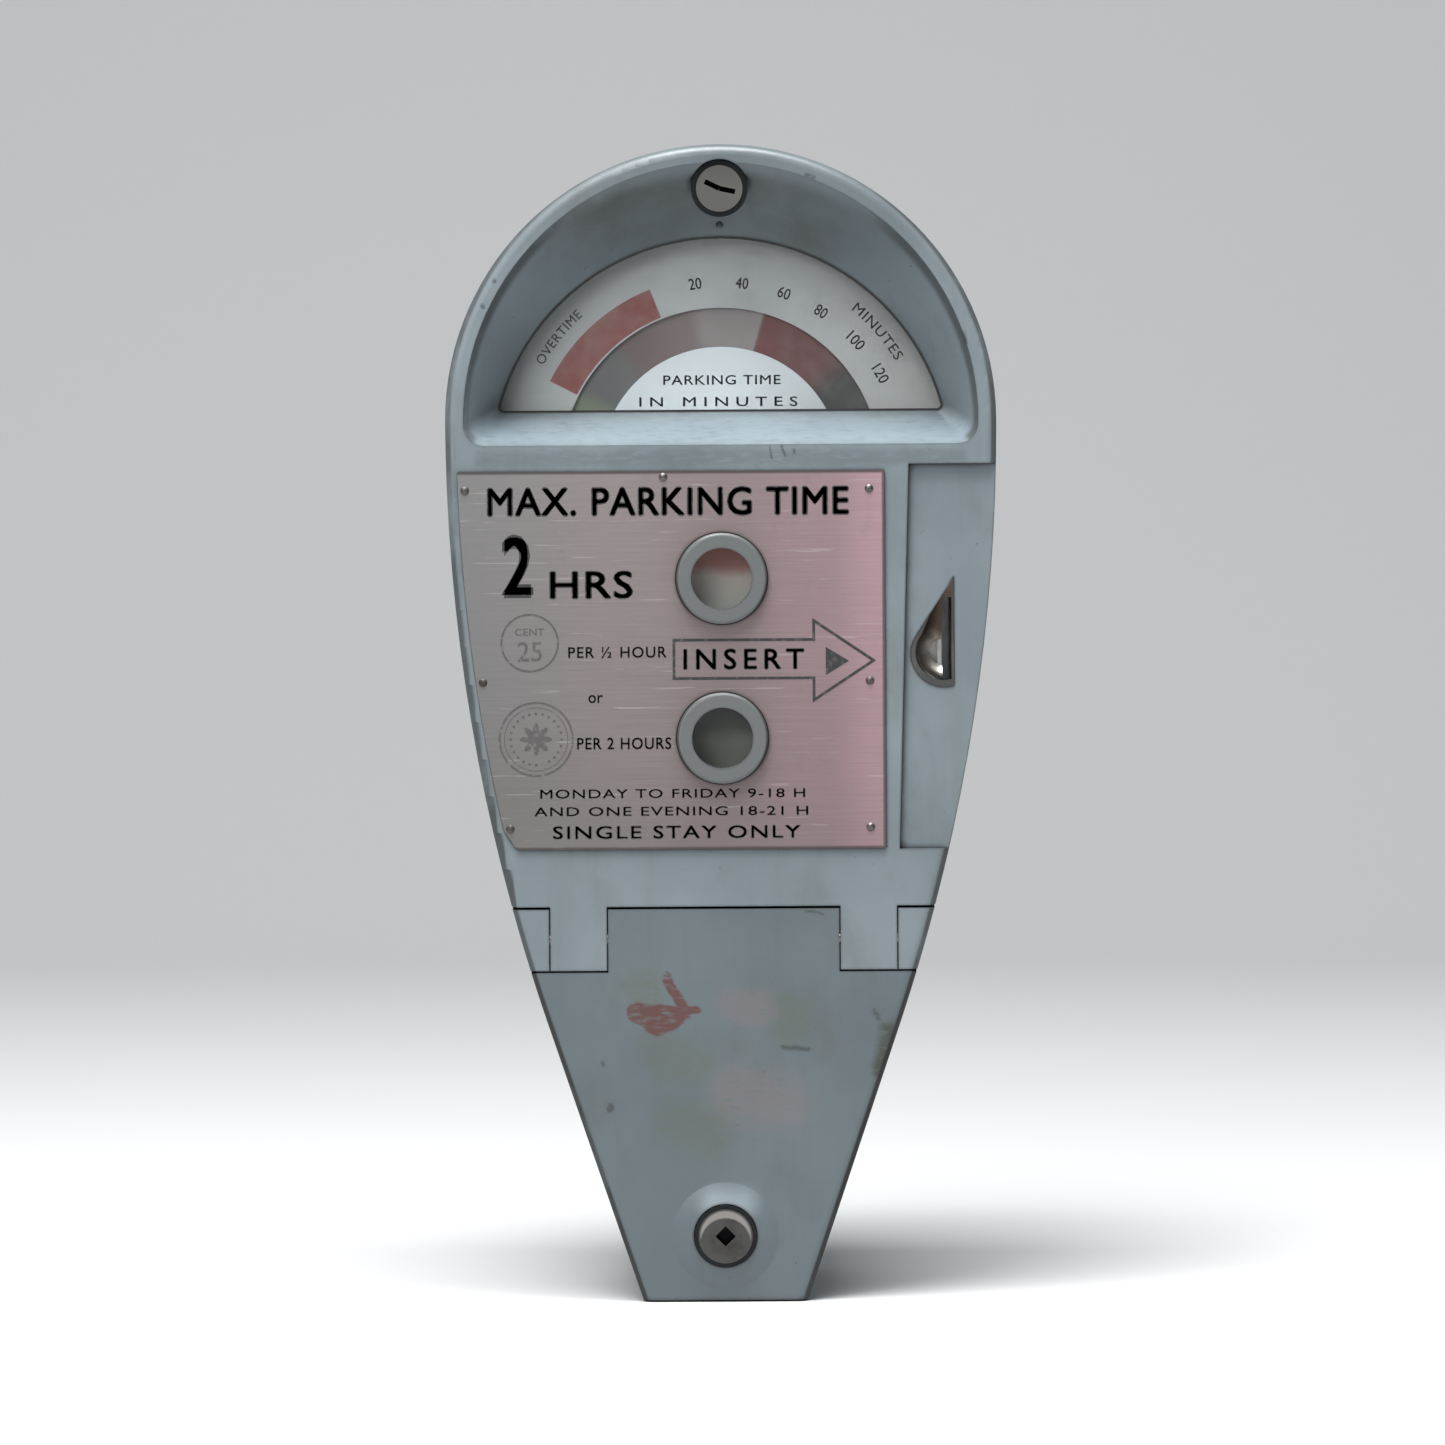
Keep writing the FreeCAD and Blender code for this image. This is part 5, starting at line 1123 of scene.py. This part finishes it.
SMALL_COIN = (-0.0631, 0.2173)
LARGE_COIN = (-0.0612, 0.1857)
BEADS = 24
stroke("small_coin_edge", circle(*SMALL_COIN, 0.0093), 0.0006, FAINT_INK)
coin_word("small_coin_numeral", "25", 0.0040, -0.0060, 0.0004)
coin_word("small_coin_word", "CENT", 0.0048, 0.0025, 0.0048)
stroke("large_coin_edge", circle(*LARGE_COIN, 0.0120), 0.0006, FAINT_INK)
stroke("large_coin_ring", circle(*LARGE_COIN, 0.0104), 0.0002, FAINT_INK)
turn = np.linspace(0, 2 * np.pi, 144, endpoint=False)
petal = 0.0040 * (1 + 0.32 * np.cos(8 * turn))
rosette = np.stack([LARGE_COIN[0] + petal * np.cos(turn), LARGE_COIN[1] + petal * np.sin(turn)], axis=1)
filled("large_coin_rosette", rosette, FAINT_INK)
for n, (x, z) in enumerate(circle(*LARGE_COIN, 0.0084, BEADS)):
    filled("large_coin_bead_%02d" % n, circle(x, z, 0.00045, 10), FAINT_INK)
print("coins printed, beads:", BEADS)

# %% Arrow to the coin entry
ARROW = [
    (-0.0158, 0.2180),
    (0.0301, 0.2180),
    (0.0301, 0.2242),
    (0.0497, 0.2110),
    (0.0301, 0.1981),
    (0.0301, 0.2054),
    (-0.0158, 0.2054),
]
stroke("arrow_outline", ARROW[::-1], 0.0009)
plate_line("arrow_word", "INSERT", -0.0128, 0.0270, 0.2082, 0.2152, INK, 0.022, 1.35)
filled("arrow_head", [(0.0340, 0.2063), (0.0416, 0.2109), (0.0340, 0.2155)], INK)
print("plate printed")


# %% [markdown]
# ### The dial's scale
#
# The scale is numbered every twenty minutes, and two words are bent round it: what the red band means
# at the left, and the unit at the right.

# %% Dial scale
SCALE_R = 0.0615
WORD_R = 0.0696
for minutes, degrees in ((20, -7.7), (40, 6.9), (60, 20.3), (80, 33.1), (100, 47.2), (120, 60.0)):
    width = 0.0042 if minutes < 100 else 0.0062
    dial_arc("scale_%03d" % minutes, str(minutes), SCALE_R, degrees, 0.0038, width, 0.008)
dial_arc("scale_word_left", "OVERTIME", WORD_R, -51.0, 0.0032, 0.0215, 0.004, 1.1)
dial_arc("scale_word_right", "MINUTES", WORD_R, 49.5, 0.0034, 0.0230, 0.004, 1.1)
dial_line("hub_line_upper", "PARKING TIME", -0.0190, 0.0200, 0.3020, 0.3052)
dial_line("hub_line_lower", "IN MINUTES", -0.0270, 0.0256, 0.2948, 0.2980, 1.6)
print("dial printed")


# %% [markdown]
# ## Hairspring
#
# The balance is driven back and forth by a flat spiral spring. Its path is an Archimedean spiral, whose
# radius grows evenly with its angle, and a thin upright ribbon follows it.

# %% Hairspring
SPRING_TURNS = 6
SPRING_START, SPRING_GROWTH = 0.0021, 0.0088
SPRING_BACK = 0.0126
RIBBON_HALF, RIBBON_HEIGHT = 0.00009, 0.0009


def hairspring():
    """A ribbon of four corners along a spiral: the radius is the start plus the growth times the turn."""
    low, high = box_of("balance_wheel")
    x0, z0 = (low[0] + high[0]) / 2, (low[2] + high[2]) / 2
    turn = np.linspace(0, 2 * np.pi * SPRING_TURNS, 260)
    reach = SPRING_START + SPRING_GROWTH * turn / turn[-1]
    rings = []
    for off, up in ((-1, 0.0), (1, 0.0), (1, RIBBON_HEIGHT), (-1, RIBBON_HEIGHT)):
        r = reach + off * RIBBON_HALF
        y = np.full(len(turn), SPRING_BACK + up)
        rings.append(np.stack([x0 + r * np.cos(turn), y, z0 + r * np.sin(turn)], axis=1))
    points = np.stack(rings, axis=1).reshape(-1, 3)
    here = np.arange(len(turn) - 1)[:, None] * 4
    side = np.arange(4)[None, :]
    after = (side + 1) % 4
    faces = np.stack([here + side, here + 4 + side, here + 4 + after, here + after], axis=-1).reshape(-1, 4)
    ends = [(0, 1, 2, 3), tuple(np.array([3, 2, 1, 0]) + 4 * (len(turn) - 1))]
    return new_piece("hairspring", points, faces.tolist() + ends, DARK_STEEL, "balance")


print("hairspring points:", len(hairspring().data.vertices))


# %% [markdown]
# ## Studio
#
# The head stands on a pale sweep: a floor that curves up into a wall behind it, so there is no horizon.
# Two large soft lights above it brighten the ledge and the rims. A weak one fills in from the left, and
# stands where the dial's glass doesn't mirror it.

# %% Sweep
def sweep():
    """A floor that rises behind: its profile is a line, a quarter circle and a line."""
    radius, back = 1.2, 1.6
    bend = np.linspace(0, np.pi / 2, 24)
    y = np.concatenate([[-5.0], back + radius * np.sin(bend), [back + radius]])
    z = np.concatenate([[0.0], radius * (1 - np.cos(bend)), [5.0]])
    left = np.stack([np.full(len(y), -5.0), y, z], axis=1)
    right = left * np.array([-1, 1, 1])
    count = len(y)
    here = np.arange(count - 1)
    faces = np.stack([here, here + count, here + count + 1, here + 1], axis=1)
    mesh = bpy.data.meshes.new("studio_sweep")
    mesh.from_pydata(np.concatenate([left, right]).tolist(), [], faces.tolist())
    mesh.polygons.foreach_set("use_smooth", np.ones(len(faces), bool))
    material, _, shader = finish("studio_paper", Roughness=0.9)
    shader.inputs["Base Color"].default_value = rgba(0.62, 0.62, 0.62)
    mesh.materials.append(material)
    made = bpy.data.objects.new("studio_sweep", mesh)
    bpy.context.scene.collection.objects.link(made)


sweep()


# %% Lights
def aim(place, target, roll=0.0):
    """The turn that points an object's -Z from place to target."""
    look = (Vector(target) - Vector(place)).to_track_quat("-Z", "Y").to_matrix()
    return (look @ Matrix.Rotation(roll, 3, "Z")).to_euler()


def area_light(name, place, target, size, power):
    """A soft rectangular light of a size in metres and a power in watts, aimed at a target."""
    light = bpy.data.lights.new(name, "AREA")
    light.shape = "RECTANGLE"
    light.size, light.size_y = size
    light.energy = power
    made = bpy.data.objects.new(name, light)
    made.location = place
    made.rotation_euler = aim(place, target)
    bpy.context.scene.collection.objects.link(made)


middle = (0.0, 0.0, 0.19)
area_light("key_light", (-0.55, -1.1, 2.1), middle, (1.1, 0.9), 40.0)
area_light("fill_light", (-0.9, -2.3, 1.15), middle, (1.2, 1.0), 11.0)
area_light("top_light", (-0.05, -0.45, 1.9), middle, (1.2, 0.7), 48.0)
world = bpy.data.worlds.new("studio_world")
world.use_nodes = True
sky = world.node_tree.nodes["Background"]
sky.inputs["Color"].default_value = rgba(0.80, 0.86, 0.92)
sky.inputs["Strength"].default_value = 0.34
bpy.context.scene.world = world
print("lights:", [thing.name for thing in bpy.data.lights])


# %% [markdown]
# ## Camera
#
# The view is almost exactly from the front, a hair above the middle, through a long lens, so the sides
# stay hidden and the outline keeps its true proportions.

# %% Camera
camera_data = bpy.data.cameras.new("camera")
camera_data.lens = 190.0
camera_data.sensor_width = 36.0
camera = bpy.data.objects.new("camera", camera_data)
distance, rise, roll = 2.5, math.radians(2.0), math.radians(-0.35)
target = (0.0, float(cad_box[0][1]), 0.191)
camera.location = (target[0], target[1] - distance * math.cos(rise), target[2] + distance * math.sin(rise))
camera.rotation_euler = aim(camera.location, target, roll)
bpy.context.scene.collection.objects.link(camera)
bpy.context.scene.camera = camera
bpy.context.scene.view_settings.view_transform = "Standard"
print("camera at", tuple(camera.location))
